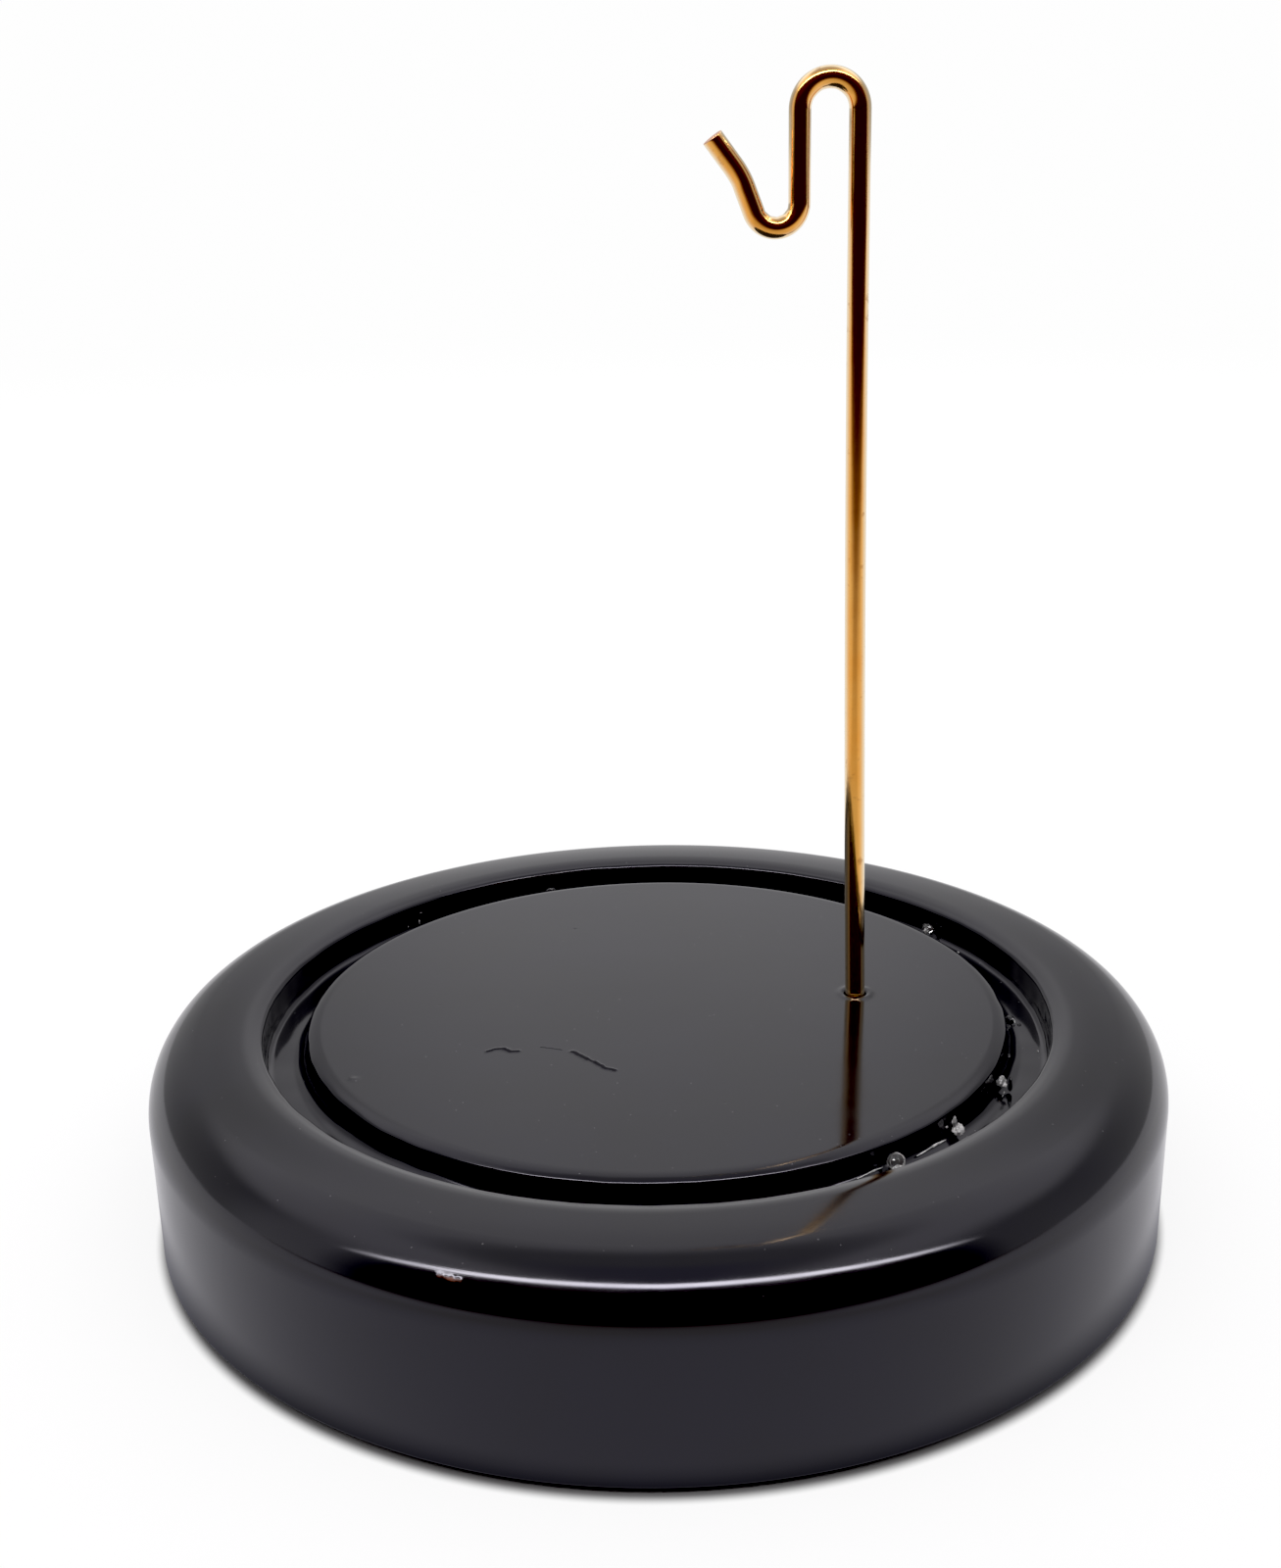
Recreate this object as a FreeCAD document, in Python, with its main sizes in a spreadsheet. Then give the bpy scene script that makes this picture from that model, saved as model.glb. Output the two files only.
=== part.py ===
import FreeCAD, Part
import math
import os
import Sketcher

# Display stand for one pocket watch under a small glass dome: a turned and lacquered wooden base
# with a ring groove for the dome, a bent brass wire with a hook for the watch, and a felt pad.
# Millimetres, +Z up. The origin is on the base's axis, on the surface that the stand rests on.
# The wire stands on the +Y side of the centre and its hook points to -Y, the front.

SIZES = {
    "base_dia": (102.0, "widest diameter of the base"),
    "foot_dia": (101.6, "diameter of the base just above its bottom edge"),
    "base_height": (19.6, "underside of the wood to the top of the rim"),
    "edge_break": (0.4, "chamfer around the bottom edge"),
    "shoulder_width": (5.0, "how far the rounded shoulder reaches in from the side"),
    "shoulder_drop": (7.7, "how far the rounded shoulder reaches down from the rim"),
    "shoulder_crest": (3.5, "radius of the shoulder where it meets the rim"),
    "plateau_dia": (70.4, "round table inside the groove"),
    "plateau_drop": (0.2, "table below the rim"),
    "groove_dia": (79.0, "outer wall of the dome groove"),
    "groove_depth": (3.3, "rim to the floor of the groove"),
    "groove_corner": (0.8, "rounding along the floor of the groove"),
    "lip_round": (0.35, "rounding of the two lips of the groove"),
    "wire_dia": (2.0, "brass wire"),
    "hole_clearance": (0.05, "gap all round the wire in its hole"),
    "hole_depth": (12.0, "hole for the wire, from the table down"),
    "foot_gap": (0.2, "end of the wire above the bottom of its hole"),
    "foot_chamfer": (0.3, "lead-in at the foot of the wire"),
    "post_offset": (20.6, "wire's post from the middle of the base"),
    "crown_height": (86.2, "middle of the upper bend above the table"),
    "crown_radius": (2.73, "upper bend, to the middle of the wire"),
    "valley_height": (78.25, "middle of the lower bend above the table"),
    "valley_radius": (2.15, "lower bend, where the watch hangs"),
    "lead_angle": (21.0, "lean of the hook's outer leg"),
    "lead_length": (2.3, "straight part of the outer leg"),
    "tip_angle": (37.0, "lean of the hook's tip"),
    "tip_bend_radius": (8.0, "slight bend between leg and tip"),
    "tip_length": (3.05, "straight part of the tip"),
    "felt_dia": (94.0, "felt pad"),
    "felt_thick": (0.8, "felt pad"),
}
FULL_TURN = 360.0
RIGHT_ANGLE = 90.0
ORIGIN = (-1, 1)
START, END, CENTRE = 1, 2, 3


def make_sheet(doc):
    """Writes the driving dimensions, one to a row, each with its alias."""
    sheet = doc.addObject("Spreadsheet::Sheet", "Size")
    for row, (alias, (value, note)) in enumerate(SIZES.items(), start=1):
        sheet.set(f"A{row}", alias)
        sheet.set(f"B{row}", str(value))
        sheet.set(f"C{row}", note)
        sheet.setAlias(f"B{row}", alias)
    doc.recompute()
    return sheet


def origin_plane(body, role):
    """One of the body's own origin planes."""
    return next(plane for plane in body.Origin.OriginFeatures if plane.Role == role)


def new_sketch(body, name, role):
    """An empty sketch on one of the body's origin planes."""
    sketch = body.newObject("Sketcher::SketchObject", name)
    sketch.AttachmentSupport = [(origin_plane(body, role), "")]
    sketch.MapMode = "FlatFace"
    return sketch


def tie(sketch, kind, where, rule, name):
    """Adds one named dimension and binds it to the sheet."""
    value = float(sketch.evalExpression(rule))
    if kind == "Angle":
        value = math.radians(value)
    index = sketch.addConstraint(Sketcher.Constraint(kind, *where, value))
    sketch.renameConstraint(index, name)
    sketch.setExpression(f"Constraints.{name}", rule)


def pin_point(sketch, geometry, end, across, up, name):
    """Fixes a point of the sketch, across and up from its origin. None leaves a direction free."""
    for kind, rule, suffix in (("DistanceX", across, "across"), ("DistanceY", up, "up")):
        if rule is not None:
            tie(sketch, kind, (*ORIGIN, geometry, end), rule, f"{name}_{suffix}")


def join(sketch, kind, first, second):
    """Joins the end of one edge to the start of the next, at a corner or smoothly."""
    sketch.addConstraint(Sketcher.Constraint(kind, first, END, second, START))


def corner(sketch, across, up):
    """A point in the sketch, worked out from two rules."""
    return FreeCAD.Vector(
        float(sketch.evalExpression(across)), float(sketch.evalExpression(up)), 0
    )


def arc_between(centre, start, end):
    """The anticlockwise arc about a centre, from one point to another."""
    first = math.atan2(start.y - centre.y, start.x - centre.x)
    last = math.atan2(end.y - centre.y, end.x - centre.x)
    circle = Part.Circle(centre, FreeCAD.Vector(0, 0, 1), centre.distanceToPoint(start))
    return Part.ArcOfCircle(circle, first, last)


def polygon(sketch, corners):
    """A closed outline of straight edges through named corners, each tied to the sheet."""
    points = [corner(sketch, across, up) for _, across, up in corners]
    for start, end in zip(points, points[1:] + points[:1]):
        sketch.addGeometry(Part.LineSegment(start, end))
    for index, (name, across, up) in enumerate(corners):
        join(sketch, "Coincident", index - 1 if index else len(corners) - 1, index)
        pin_point(sketch, index, START, across, up, name)


def blank_outline(sketch):
    """Half section of the turned base before the groove is cut.

    The shoulder is two arcs: a flat one that leaves the side upright, and a tight one, the crest,
    that runs into the level rim.
    """
    foot_in = ("Size.foot_dia / 2 - Size.edge_break", "0")
    foot_out = ("Size.foot_dia / 2", "Size.edge_break")
    side_top = ("Size.base_dia / 2", "Size.base_height - Size.shoulder_drop")
    rim_start = ("Size.base_dia / 2 - Size.shoulder_width", "Size.base_height")
    step = "(Size.plateau_dia + Size.groove_dia) / 4"
    plateau = "Size.base_height - Size.plateau_drop"
    p = [corner(sketch, *pair) for pair in (("0", "0"), foot_in, foot_out, side_top, rim_start)]
    p += [corner(sketch, *pair) for pair in ((step, "Size.base_height"), (step, plateau))]
    p += [corner(sketch, "0", plateau)]
    crest = float(sketch.evalExpression("Size.shoulder_crest"))
    width, drop = p[3].x - p[4].x, p[4].y - p[3].y
    side_radius = (width**2 + drop**2 - 2 * drop * crest) / (2 * (width - crest))
    crest_centre = FreeCAD.Vector(p[4].x, p[4].y - crest, 0)
    side_centre = FreeCAD.Vector(p[3].x - side_radius, p[3].y, 0)
    outward = crest_centre - side_centre
    outward.normalize()
    meeting = side_centre + outward * side_radius
    sketch.addGeometry(Part.LineSegment(p[0], p[1]))
    sketch.addGeometry(Part.LineSegment(p[1], p[2]))
    sketch.addGeometry(Part.LineSegment(p[2], p[3]))
    sketch.addGeometry(arc_between(side_centre, p[3], meeting))
    sketch.addGeometry(arc_between(crest_centre, meeting, p[4]))
    sketch.addGeometry(Part.LineSegment(p[4], p[5]))
    sketch.addGeometry(Part.LineSegment(p[5], p[6]))
    sketch.addGeometry(Part.LineSegment(p[6], p[7]))
    sketch.addGeometry(Part.LineSegment(p[7], p[0]))
    side_arc, crest_arc, rim_line, last = 3, 4, 5, 8
    for edge in range(last):
        kind = "Tangent" if edge in (side_arc, crest_arc) else "Coincident"
        join(sketch, kind, edge, edge + 1)
    join(sketch, "Coincident", last, 0)
    pin_point(sketch, 0, START, "0", "0", "middle")
    pin_point(sketch, 1, START, *foot_in, "foot_in")
    pin_point(sketch, 2, START, *foot_out, "foot_out")
    pin_point(sketch, side_arc, START, *side_top, "side_top")
    pin_point(sketch, side_arc, CENTRE, None, side_top[1], "side_centre")
    pin_point(sketch, rim_line, START, *rim_start, "rim_start")
    pin_point(sketch, rim_line, END, step, "Size.base_height", "rim_end")
    pin_point(sketch, last - 1, START, step, plateau, "table_edge")
    pin_point(sketch, last, START, "0", plateau, "table_middle")
    tie(sketch, "Radius", (crest_arc,), "Size.shoulder_crest", "crest")


def circle_sketch(body, name, diameter, height):
    """A circle about the body's Z axis, at a height above its XY plane."""
    sketch = new_sketch(body, name, "XY_Plane")
    radius = float(sketch.evalExpression(diameter)) / 2
    sketch.addGeometry(Part.Circle(FreeCAD.Vector(), FreeCAD.Vector(0, 0, 1), radius))
    sketch.addConstraint(Sketcher.Constraint("Coincident", 0, CENTRE, *ORIGIN))
    tie(sketch, "Diameter", (0,), diameter, "diameter")
    sketch.setExpression("AttachmentOffset.Base.z", height)
    return sketch


def edges_at(shape, diameter, height):
    """Names of the round edges about the Z axis with this diameter and height."""
    found = []
    for number, edge in enumerate(shape.Edges, start=1):
        curve = edge.Curve
        if not isinstance(curve, Part.Circle):
            continue
        if math.isclose(curve.Radius, diameter / 2, abs_tol=1e-4) and math.isclose(
            curve.Center.z, height, abs_tol=1e-4
        ):
            found.append(f"Edge{number}")
    return found


def round_edges(body, base, name, edges, radius):
    """Rounds named edges of the feature before it."""
    fillet = body.newObject("PartDesign::Fillet", name)
    fillet.Base = (base, edges)
    fillet.setExpression("Radius", radius)
    body.Document.recompute()
    return fillet


def make_base(doc, sheet):
    """The turned base: a revolved blank, the ring groove for the dome, and the wire's hole."""
    body = doc.addObject("PartDesign::Body", "turned_base")
    body.Label = "turned_base"
    body.setExpression("Placement.Base.z", "Size.felt_thick")
    outline = new_sketch(body, "BlankOutline", "XZ_Plane")
    blank_outline(outline)
    blank = body.newObject("PartDesign::Revolution", "Blank")
    blank.Profile = outline
    blank.ReferenceAxis = (outline, ["V_Axis"])
    blank.Angle = FULL_TURN

    section = new_sketch(body, "GrooveSection", "XZ_Plane")
    inner, outer = "Size.plateau_dia / 2", "Size.groove_dia / 2"
    floor = "Size.base_height - Size.groove_depth"
    clear = "Size.base_height + Size.groove_depth"
    polygon(
        section,
        [
            ("inner_floor", inner, floor),
            ("outer_floor", outer, floor),
            ("outer_top", outer, clear),
            ("inner_top", inner, clear),
        ],
    )
    groove = body.newObject("PartDesign::Groove", "DomeGroove")
    groove.Profile = section
    groove.ReferenceAxis = (section, ["V_Axis"])
    groove.Angle = FULL_TURN
    doc.recompute()

    rim = sheet.base_height
    floor_height = rim - sheet.groove_depth
    corners = edges_at(groove.Shape, sheet.plateau_dia, floor_height)
    corners += edges_at(groove.Shape, sheet.groove_dia, floor_height)
    floor_round = round_edges(body, groove, "FloorRounding", corners, "Size.groove_corner")
    lips = edges_at(floor_round.Shape, sheet.plateau_dia, rim - sheet.plateau_drop)
    lips += edges_at(floor_round.Shape, sheet.groove_dia, rim)
    round_edges(body, floor_round, "LipRounding", lips, "Size.lip_round")

    bore_dia = "Size.wire_dia + 2 * Size.hole_clearance"
    mouth = circle_sketch(body, "WireHole", bore_dia, "Size.base_height - Size.plateau_drop")
    mouth.setExpression("AttachmentOffset.Base.y", "Size.post_offset")
    hole = body.newObject("PartDesign::Pocket", "WireHolePocket")
    hole.Profile = mouth
    hole.setExpression("Length", "Size.hole_depth")
    doc.recompute()
    return body


def hook_path(sketch):
    """The wire's centreline, from its foot in the base to the tip of the hook.

    Up the post, over the crown, down into the valley that carries the watch, and out along a
    leaning leg whose tip leans further. Every bend is an arc that its two neighbours touch.
    """
    value = {alias: float(sketch.evalExpression(f"Size.{alias}")) for alias in SIZES}
    crown, valley = value["crown_radius"], value["valley_radius"]
    bend = value["tip_bend_radius"]
    lead, tip = math.radians(value["lead_angle"]), math.radians(value["tip_angle"])
    foot = FreeCAD.Vector(0, value["foot_gap"] - value["hole_depth"], 0)
    post_top = FreeCAD.Vector(0, value["crown_height"], 0)
    crown_centre = FreeCAD.Vector(-crown, value["crown_height"], 0)
    leg_top = FreeCAD.Vector(-2 * crown, value["crown_height"], 0)
    leg_foot = FreeCAD.Vector(-2 * crown, value["valley_height"], 0)
    valley_centre = FreeCAD.Vector(-2 * crown - valley, value["valley_height"], 0)
    lead_way = FreeCAD.Vector(-math.sin(lead), math.cos(lead), 0)
    tip_way = FreeCAD.Vector(-math.sin(tip), math.cos(tip), 0)
    lead_side = FreeCAD.Vector(-math.cos(lead), -math.sin(lead), 0)
    tip_side = FreeCAD.Vector(-math.cos(tip), -math.sin(tip), 0)
    lead_start = valley_centre + lead_side * valley
    lead_end = lead_start + lead_way * value["lead_length"]
    bend_centre = lead_end + lead_side * bend
    tip_start = bend_centre - tip_side * bend
    tip_end = tip_start + tip_way * value["tip_length"]
    sketch.addGeometry(Part.LineSegment(foot, post_top))
    sketch.addGeometry(arc_between(crown_centre, post_top, leg_top))
    sketch.addGeometry(Part.LineSegment(leg_top, leg_foot))
    sketch.addGeometry(arc_between(valley_centre, lead_start, leg_foot))
    sketch.addGeometry(Part.LineSegment(lead_start, lead_end))
    sketch.addGeometry(arc_between(bend_centre, lead_end, tip_start))
    sketch.addGeometry(Part.LineSegment(tip_start, tip_end))
    post, crown_arc, leg, valley_arc, lead_line, bend_arc, tip_line = range(7)
    smooth = (
        (post, END, crown_arc, START),
        (crown_arc, END, leg, START),
        (leg, END, valley_arc, END),
        (valley_arc, START, lead_line, START),
        (lead_line, END, bend_arc, START),
        (bend_arc, END, tip_line, START),
    )
    for place in smooth:
        sketch.addConstraint(Sketcher.Constraint("Tangent", *place))
    sketch.addConstraint(Sketcher.Constraint("Vertical", leg))
    pin_point(sketch, post, START, "0", "Size.foot_gap - Size.hole_depth", "foot")
    pin_point(sketch, post, END, "0", "Size.crown_height", "post_top")
    pin_point(sketch, leg, END, None, "Size.valley_height", "leg_foot")
    tie(sketch, "Radius", (crown_arc,), "Size.crown_radius", "crown")
    tie(sketch, "Radius", (valley_arc,), "Size.valley_radius", "valley")
    tie(sketch, "Radius", (bend_arc,), "Size.tip_bend_radius", "bend")
    tie(sketch, "Distance", (lead_line,), "Size.lead_length", "lead")
    tie(sketch, "Distance", (tip_line,), "Size.tip_length", "tip")
    level = f"{RIGHT_ANGLE} + "
    tie(sketch, "Angle", (lead_line,), level + "Size.lead_angle", "lead_lean")
    tie(sketch, "Angle", (tip_line,), level + "Size.tip_angle", "tip_lean")


def make_hook(doc, sheet):
    """The bent brass wire, in a frame of its own at the foot of the post on the table."""
    body = doc.addObject("PartDesign::Body", "hook_wire")
    body.Label = "hook_wire"
    body.setExpression("Placement.Base.y", "Size.post_offset")
    body.setExpression(
        "Placement.Base.z", "Size.felt_thick + Size.base_height - Size.plateau_drop"
    )
    path = new_sketch(body, "WirePath", "YZ_Plane")
    hook_path(path)
    foot = "Size.foot_gap - Size.hole_depth"
    section = circle_sketch(body, "WireSection", "Size.wire_dia", foot)
    doc.recompute()
    wire = body.newObject("PartDesign::AdditivePipe", "Wire")
    wire.Profile = section
    wire.Spine = path
    doc.recompute()
    drawn = path.Shape.Length * math.pi * sheet.wire_dia**2 / 4
    if not math.isclose(wire.Shape.Volume, drawn, rel_tol=1e-3):
        raise RuntimeError(f"the wire holds {wire.Shape.Volume:.2f} mm3, not {drawn:.2f}")

    lead_in = body.newObject("PartDesign::Chamfer", "LeadIn")
    end = edges_at(wire.Shape, sheet.wire_dia, sheet.foot_gap - sheet.hole_depth)
    lead_in.Base = (wire, end)
    lead_in.setExpression("Size", "Size.foot_chamfer")
    doc.recompute()
    return body


def make_felt(doc):
    """The felt disc under the base."""
    body = doc.addObject("PartDesign::Body", "felt_pad")
    body.Label = "felt_pad"
    body.Placement = FreeCAD.Placement()
    outline = circle_sketch(body, "FeltOutline", "Size.felt_dia", "0")
    disc = body.newObject("PartDesign::Pad", "FeltDisc")
    disc.Profile = outline
    disc.setExpression("Length", "Size.felt_thick")
    doc.recompute()
    return body


def check(doc, bodies):
    """Stops before anything is written if a feature failed or a piece isn't one sound solid."""
    for item in doc.Objects:
        if {"Invalid", "Error"} & set(item.State):
            raise RuntimeError(f"{item.Name} failed: {item.State}")
    for body in bodies:
        shape = body.Shape
        if shape.isNull() or not shape.isValid() or len(shape.Solids) != 1:
            raise RuntimeError(f"{body.Label} is not one sound solid")


def main():
    doc = FreeCAD.newDocument("watch_stand")
    sheet = make_sheet(doc)
    bodies = [make_base(doc, sheet), make_hook(doc, sheet), make_felt(doc)]
    doc.recompute()
    check(doc, bodies)
    os.makedirs("parts", exist_ok=True)
    for body in bodies:
        body.Shape.exportStep(f"parts/{body.Label}.step")
        box = body.Shape.optimalBoundingBox()
        low = f"{box.XMin:.2f} {box.YMin:.2f} {box.ZMin:.2f}"
        high = f"{box.XMax:.2f} {box.YMax:.2f} {box.ZMax:.2f}"
        print(f"{body.Label}: {body.Shape.Volume:.1f} mm3, {low} to {high}")


main()
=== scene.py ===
import logging
import math
from dataclasses import dataclass
from enum import Enum
from typing import Callable, Optional, Sequence

import bmesh
import bpy
import numpy as np
from mathutils import Matrix, Vector, noise


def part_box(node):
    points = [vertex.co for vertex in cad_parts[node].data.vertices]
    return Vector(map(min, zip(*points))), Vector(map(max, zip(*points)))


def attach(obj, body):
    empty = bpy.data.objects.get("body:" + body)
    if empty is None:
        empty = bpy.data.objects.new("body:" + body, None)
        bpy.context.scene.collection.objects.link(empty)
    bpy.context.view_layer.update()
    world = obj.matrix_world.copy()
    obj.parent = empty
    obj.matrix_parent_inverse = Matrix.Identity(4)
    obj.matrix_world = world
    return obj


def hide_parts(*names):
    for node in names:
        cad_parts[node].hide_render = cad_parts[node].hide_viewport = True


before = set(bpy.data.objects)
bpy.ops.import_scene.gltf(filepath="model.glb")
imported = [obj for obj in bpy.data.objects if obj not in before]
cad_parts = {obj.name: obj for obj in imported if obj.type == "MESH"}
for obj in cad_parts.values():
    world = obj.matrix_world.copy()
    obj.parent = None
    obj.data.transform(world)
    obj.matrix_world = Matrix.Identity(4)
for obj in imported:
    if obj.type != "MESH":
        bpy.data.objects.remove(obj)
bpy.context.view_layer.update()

LOG = logging.getLogger("watch_stand")
MM = 0.001
BLACK_LEVEL = 0.008


class Body(Enum):
    """Bodies of the stand that pieces ride on."""

    BASE = "base"
    HOOK = "hook"


class Node(Enum):
    """CAD nodes that a finished piece stands for."""

    TURNED_BASE = "turned_base"
    HOOK_WIRE = "hook_wire"
    FELT_PAD = "felt_pad"


class Slot(Enum):
    """Material slots of the part's record."""

    BLACK_LACQUER = "black_lacquer"
    BRASS = "brass"
    FELT = "felt"


class Mark(Enum):
    """Kinds of mark in the lacquer."""

    SCRATCH = "scratch"
    CHIP = "chip"
    DENT = "dent"
    NIB = "nib"


class Socket(Enum):
    """Kinds of socket on a shader group."""

    NUMBER = "NodeSocketFloat"
    COLOUR = "NodeSocketColor"
    VECTOR = "NodeSocketVector"


# ---------------------------------------------------------------------------------------------
# Shader tools and shared effects
# ---------------------------------------------------------------------------------------------


class Tree:
    """A node tree that is filled with short calls."""

    def __init__(self, tree: bpy.types.NodeTree) -> None:
        """Starts from an emptied tree.

        Args:
            tree: The tree of a material, a world or a shader group.
        """
        self.tree = tree
        self.tree.nodes.clear()

    def add(self, kind: str, values: Optional[dict] = None, **settings: object) -> bpy.types.Node:
        """Adds a node.

        Args:
            kind: The node's type without its ShaderNode prefix, or a whole type name.
            values: Input socket name or number to a plain value or to a socket to link.
            **settings: Properties of the node itself.

        Returns:
            The new node.
        """
        whole = kind if kind.startswith("Node") else f"ShaderNode{kind}"
        node = self.tree.nodes.new(whole)
        for name, value in settings.items():
            setattr(node, name, value)
        for name, value in (values or {}).items():
            self.feed(node.inputs[name], value)
        return node

    def feed(self, socket: bpy.types.NodeSocket, value: object) -> None:
        """Links a socket to another one, or sets its plain value.

        Args:
            socket: The input.
            value: An output socket, a number or a tuple.
        """
        if isinstance(value, bpy.types.NodeSocket):
            self.tree.links.new(value, socket)
        else:
            socket.default_value = value

    def maths(self, operation: str, *values: object, clamp: bool = False) -> bpy.types.NodeSocket:
        """One Math node.

        Args:
            operation: Name of the operation.
            *values: Its inputs in order.
            clamp: Keeps the result between 0 and 1.

        Returns:
            The result's socket.
        """
        inputs = dict(enumerate(values))
        return self.add("Math", inputs, operation=operation, use_clamp=clamp).outputs[0]

    def ramp(
        self, value: object, low: float, high: float, out_low: float = 0.0, out_high: float = 1.0
    ) -> bpy.types.NodeSocket:
        """Maps a value smoothly from one range to another, and holds it outside the range.

        Args:
            value: The socket to map.
            low: Value that gives out_low.
            high: Value that gives out_high.
            out_low: Result at low.
            out_high: Result at high.

        Returns:
            The mapped socket.
        """
        inputs = {0: value, 1: low, 2: high, 3: out_low, 4: out_high}
        return self.add("MapRange", inputs, interpolation_type="SMOOTHSTEP").outputs[0]

    def mix(self, share: object, first: object, second: object) -> bpy.types.NodeSocket:
        """Mixes two colours.

        Args:
            share: How much of the second colour, 0 to 1.
            first: Colour at 0.
            second: Colour at 1.

        Returns:
            The mixed colour's socket.
        """
        node = self.add("Mix", data_type="RGBA")
        for index, value in ((0, share), (6, first), (7, second)):
            self.feed(node.inputs[index], value)
        return node.outputs[2]

    def blend(self, share: object, first: object, second: object) -> bpy.types.NodeSocket:
        """Mixes two plain values.

        Args:
            share: How much of the second value, 0 to 1.
            first: Value at 0.
            second: Value at 1.

        Returns:
            The mixed value's socket.
        """
        return self.add("Mix", {0: share, 2: first, 3: second}).outputs[0]

    def along(self, place: object, way: tuple[float, float, float]) -> bpy.types.NodeSocket:
        """How far a place or a direction reaches along a fixed direction.

        Args:
            place: The place's socket.
            way: The fixed direction, one unit long.

        Returns:
            The distance's socket.
        """
        return self.add("VectorMath", {0: place, 1: way}, operation="DOT_PRODUCT").outputs["Value"]

    def noise(
        self, place: object, scale: float, detail: float = 2.0, roughness: float = 0.5
    ) -> bpy.types.NodeSocket:
        """A noise texture's value.

        Args:
            place: Texture coordinates.
            scale: Features per unit of the coordinates.
            detail: Octaves.
            roughness: Strength of the finer octaves.

        Returns:
            The value's socket.
        """
        inputs = {"Vector": place, "Scale": scale, "Detail": detail, "Roughness": roughness}
        return self.add("TexNoise", inputs).outputs["Fac"]

    def group(self, group: bpy.types.NodeTree, values: dict) -> bpy.types.Node:
        """Places a shader group with its own values.

        Args:
            group: The shared group.
            values: Input name to value or socket.

        Returns:
            The group node.
        """
        node = self.tree.nodes.new("ShaderNodeGroup")
        node.node_tree = group
        for name, value in values.items():
            self.feed(node.inputs[name], value)
        return node


@dataclass(frozen=True)
class Effect:
    """A shared shader effect: a group with named inputs and outputs, built once."""

    name: str
    inputs: tuple[tuple[str, Socket, object], ...]
    outputs: tuple[tuple[str, Socket], ...]
    fill: Callable[[Tree, dict, dict], None]

    def group(self) -> bpy.types.NodeTree:
        """The group, built at its first use."""
        made = bpy.data.node_groups.get(self.name)
        if made:
            return made
        made = bpy.data.node_groups.new(self.name, "ShaderNodeTree")
        for name, kind, value in self.inputs:
            socket = made.interface.new_socket(name, in_out="INPUT", socket_type=kind.value)
            socket.default_value = value
        for name, kind in self.outputs:
            made.interface.new_socket(name, in_out="OUTPUT", socket_type=kind.value)
        tree = Tree(made)
        ends = tree.add("NodeGroupInput"), tree.add("NodeGroupOutput")
        self.fill(tree, ends[0].outputs, ends[1].inputs)
        return made


def fill_brush_waves(tree: Tree, given: dict, out: dict) -> None:
    """Soft unevenness of a coat laid on by hand: long waves with a finer orange peel on them.

    Args:
        tree: The group's tree.
        given: The group's inputs.
        out: The group's outputs.
    """
    waves = tree.noise(given["Place"], scale=150.0, detail=1.0)
    peel = tree.noise(given["Place"], scale=1100.0, detail=2.0)
    grit = tree.noise(given["Place"], scale=5200.0, detail=1.0)
    height = tree.maths("MULTIPLY", waves, given["Waves"])
    height = tree.maths("MULTIPLY_ADD", peel, given["Peel"], height)
    height = tree.maths("MULTIPLY_ADD", grit, given["Grit"], height)
    tree.feed(out["Height"], height)


BRUSH_WAVES = Effect(
    "brush_waves",
    (
        ("Place", Socket.VECTOR, (0.0, 0.0, 0.0)),
        ("Waves", Socket.NUMBER, 1.0),
        ("Peel", Socket.NUMBER, 0.3),
        ("Grit", Socket.NUMBER, 0.1),
    ),
    (("Height", Socket.NUMBER),),
    fill_brush_waves,
)


def fill_dust(tree: Tree, given: dict, out: dict) -> None:
    """Fine dust that lies on faces that look up, in thin drifts and separate specks.

    Args:
        tree: The group's tree.
        given: The group's inputs.
        out: The group's outputs.
    """
    up = tree.add("SeparateXYZ", {0: tree.add("NewGeometry").outputs["Normal"]}).outputs[2]
    facing = tree.ramp(up, low=0.3, high=0.95)
    drifts = tree.noise(given["Place"], scale=90.0, detail=3.0, roughness=0.6)
    drift = tree.ramp(drifts, low=0.35, high=0.75)
    cells = tree.add(
        "TexVoronoi", {"Vector": given["Place"], "Scale": given["Specks per metre"]}
    ).outputs["Distance"]
    chosen = tree.ramp(tree.noise(given["Place"], scale=330.0, detail=1.0), low=0.56, high=0.6)
    specks = tree.maths("MULTIPLY", tree.ramp(cells, low=0.1, high=0.03), chosen)
    film = tree.maths("MULTIPLY", tree.maths("MULTIPLY", facing, drift), given["Film"])
    bits = tree.maths("MULTIPLY", tree.maths("MULTIPLY", facing, specks), given["Specks"])
    tree.feed(out["Mask"], tree.maths("MAXIMUM", film, bits, clamp=True))


DUST = Effect(
    "dust",
    (
        ("Place", Socket.VECTOR, (0.0, 0.0, 0.0)),
        ("Film", Socket.NUMBER, 0.05),
        ("Specks", Socket.NUMBER, 0.5),
        ("Specks per metre", Socket.NUMBER, 900.0),
    ),
    (("Mask", Socket.NUMBER),),
    fill_dust,
)


def fill_mottle(tree: Tree, given: dict, out: dict) -> None:
    """Blends two colours in soft uneven patches.

    Args:
        tree: The group's tree.
        given: The group's inputs.
        out: The group's outputs.
    """
    patches = tree.noise(given["Place"], given["Patches per metre"], detail=4.0, roughness=0.62)
    share = tree.ramp(patches, low=0.32, high=0.68)
    tree.feed(out["Colour"], tree.mix(share, given["First"], given["Second"]))
    tree.feed(out["Share"], share)


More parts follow.
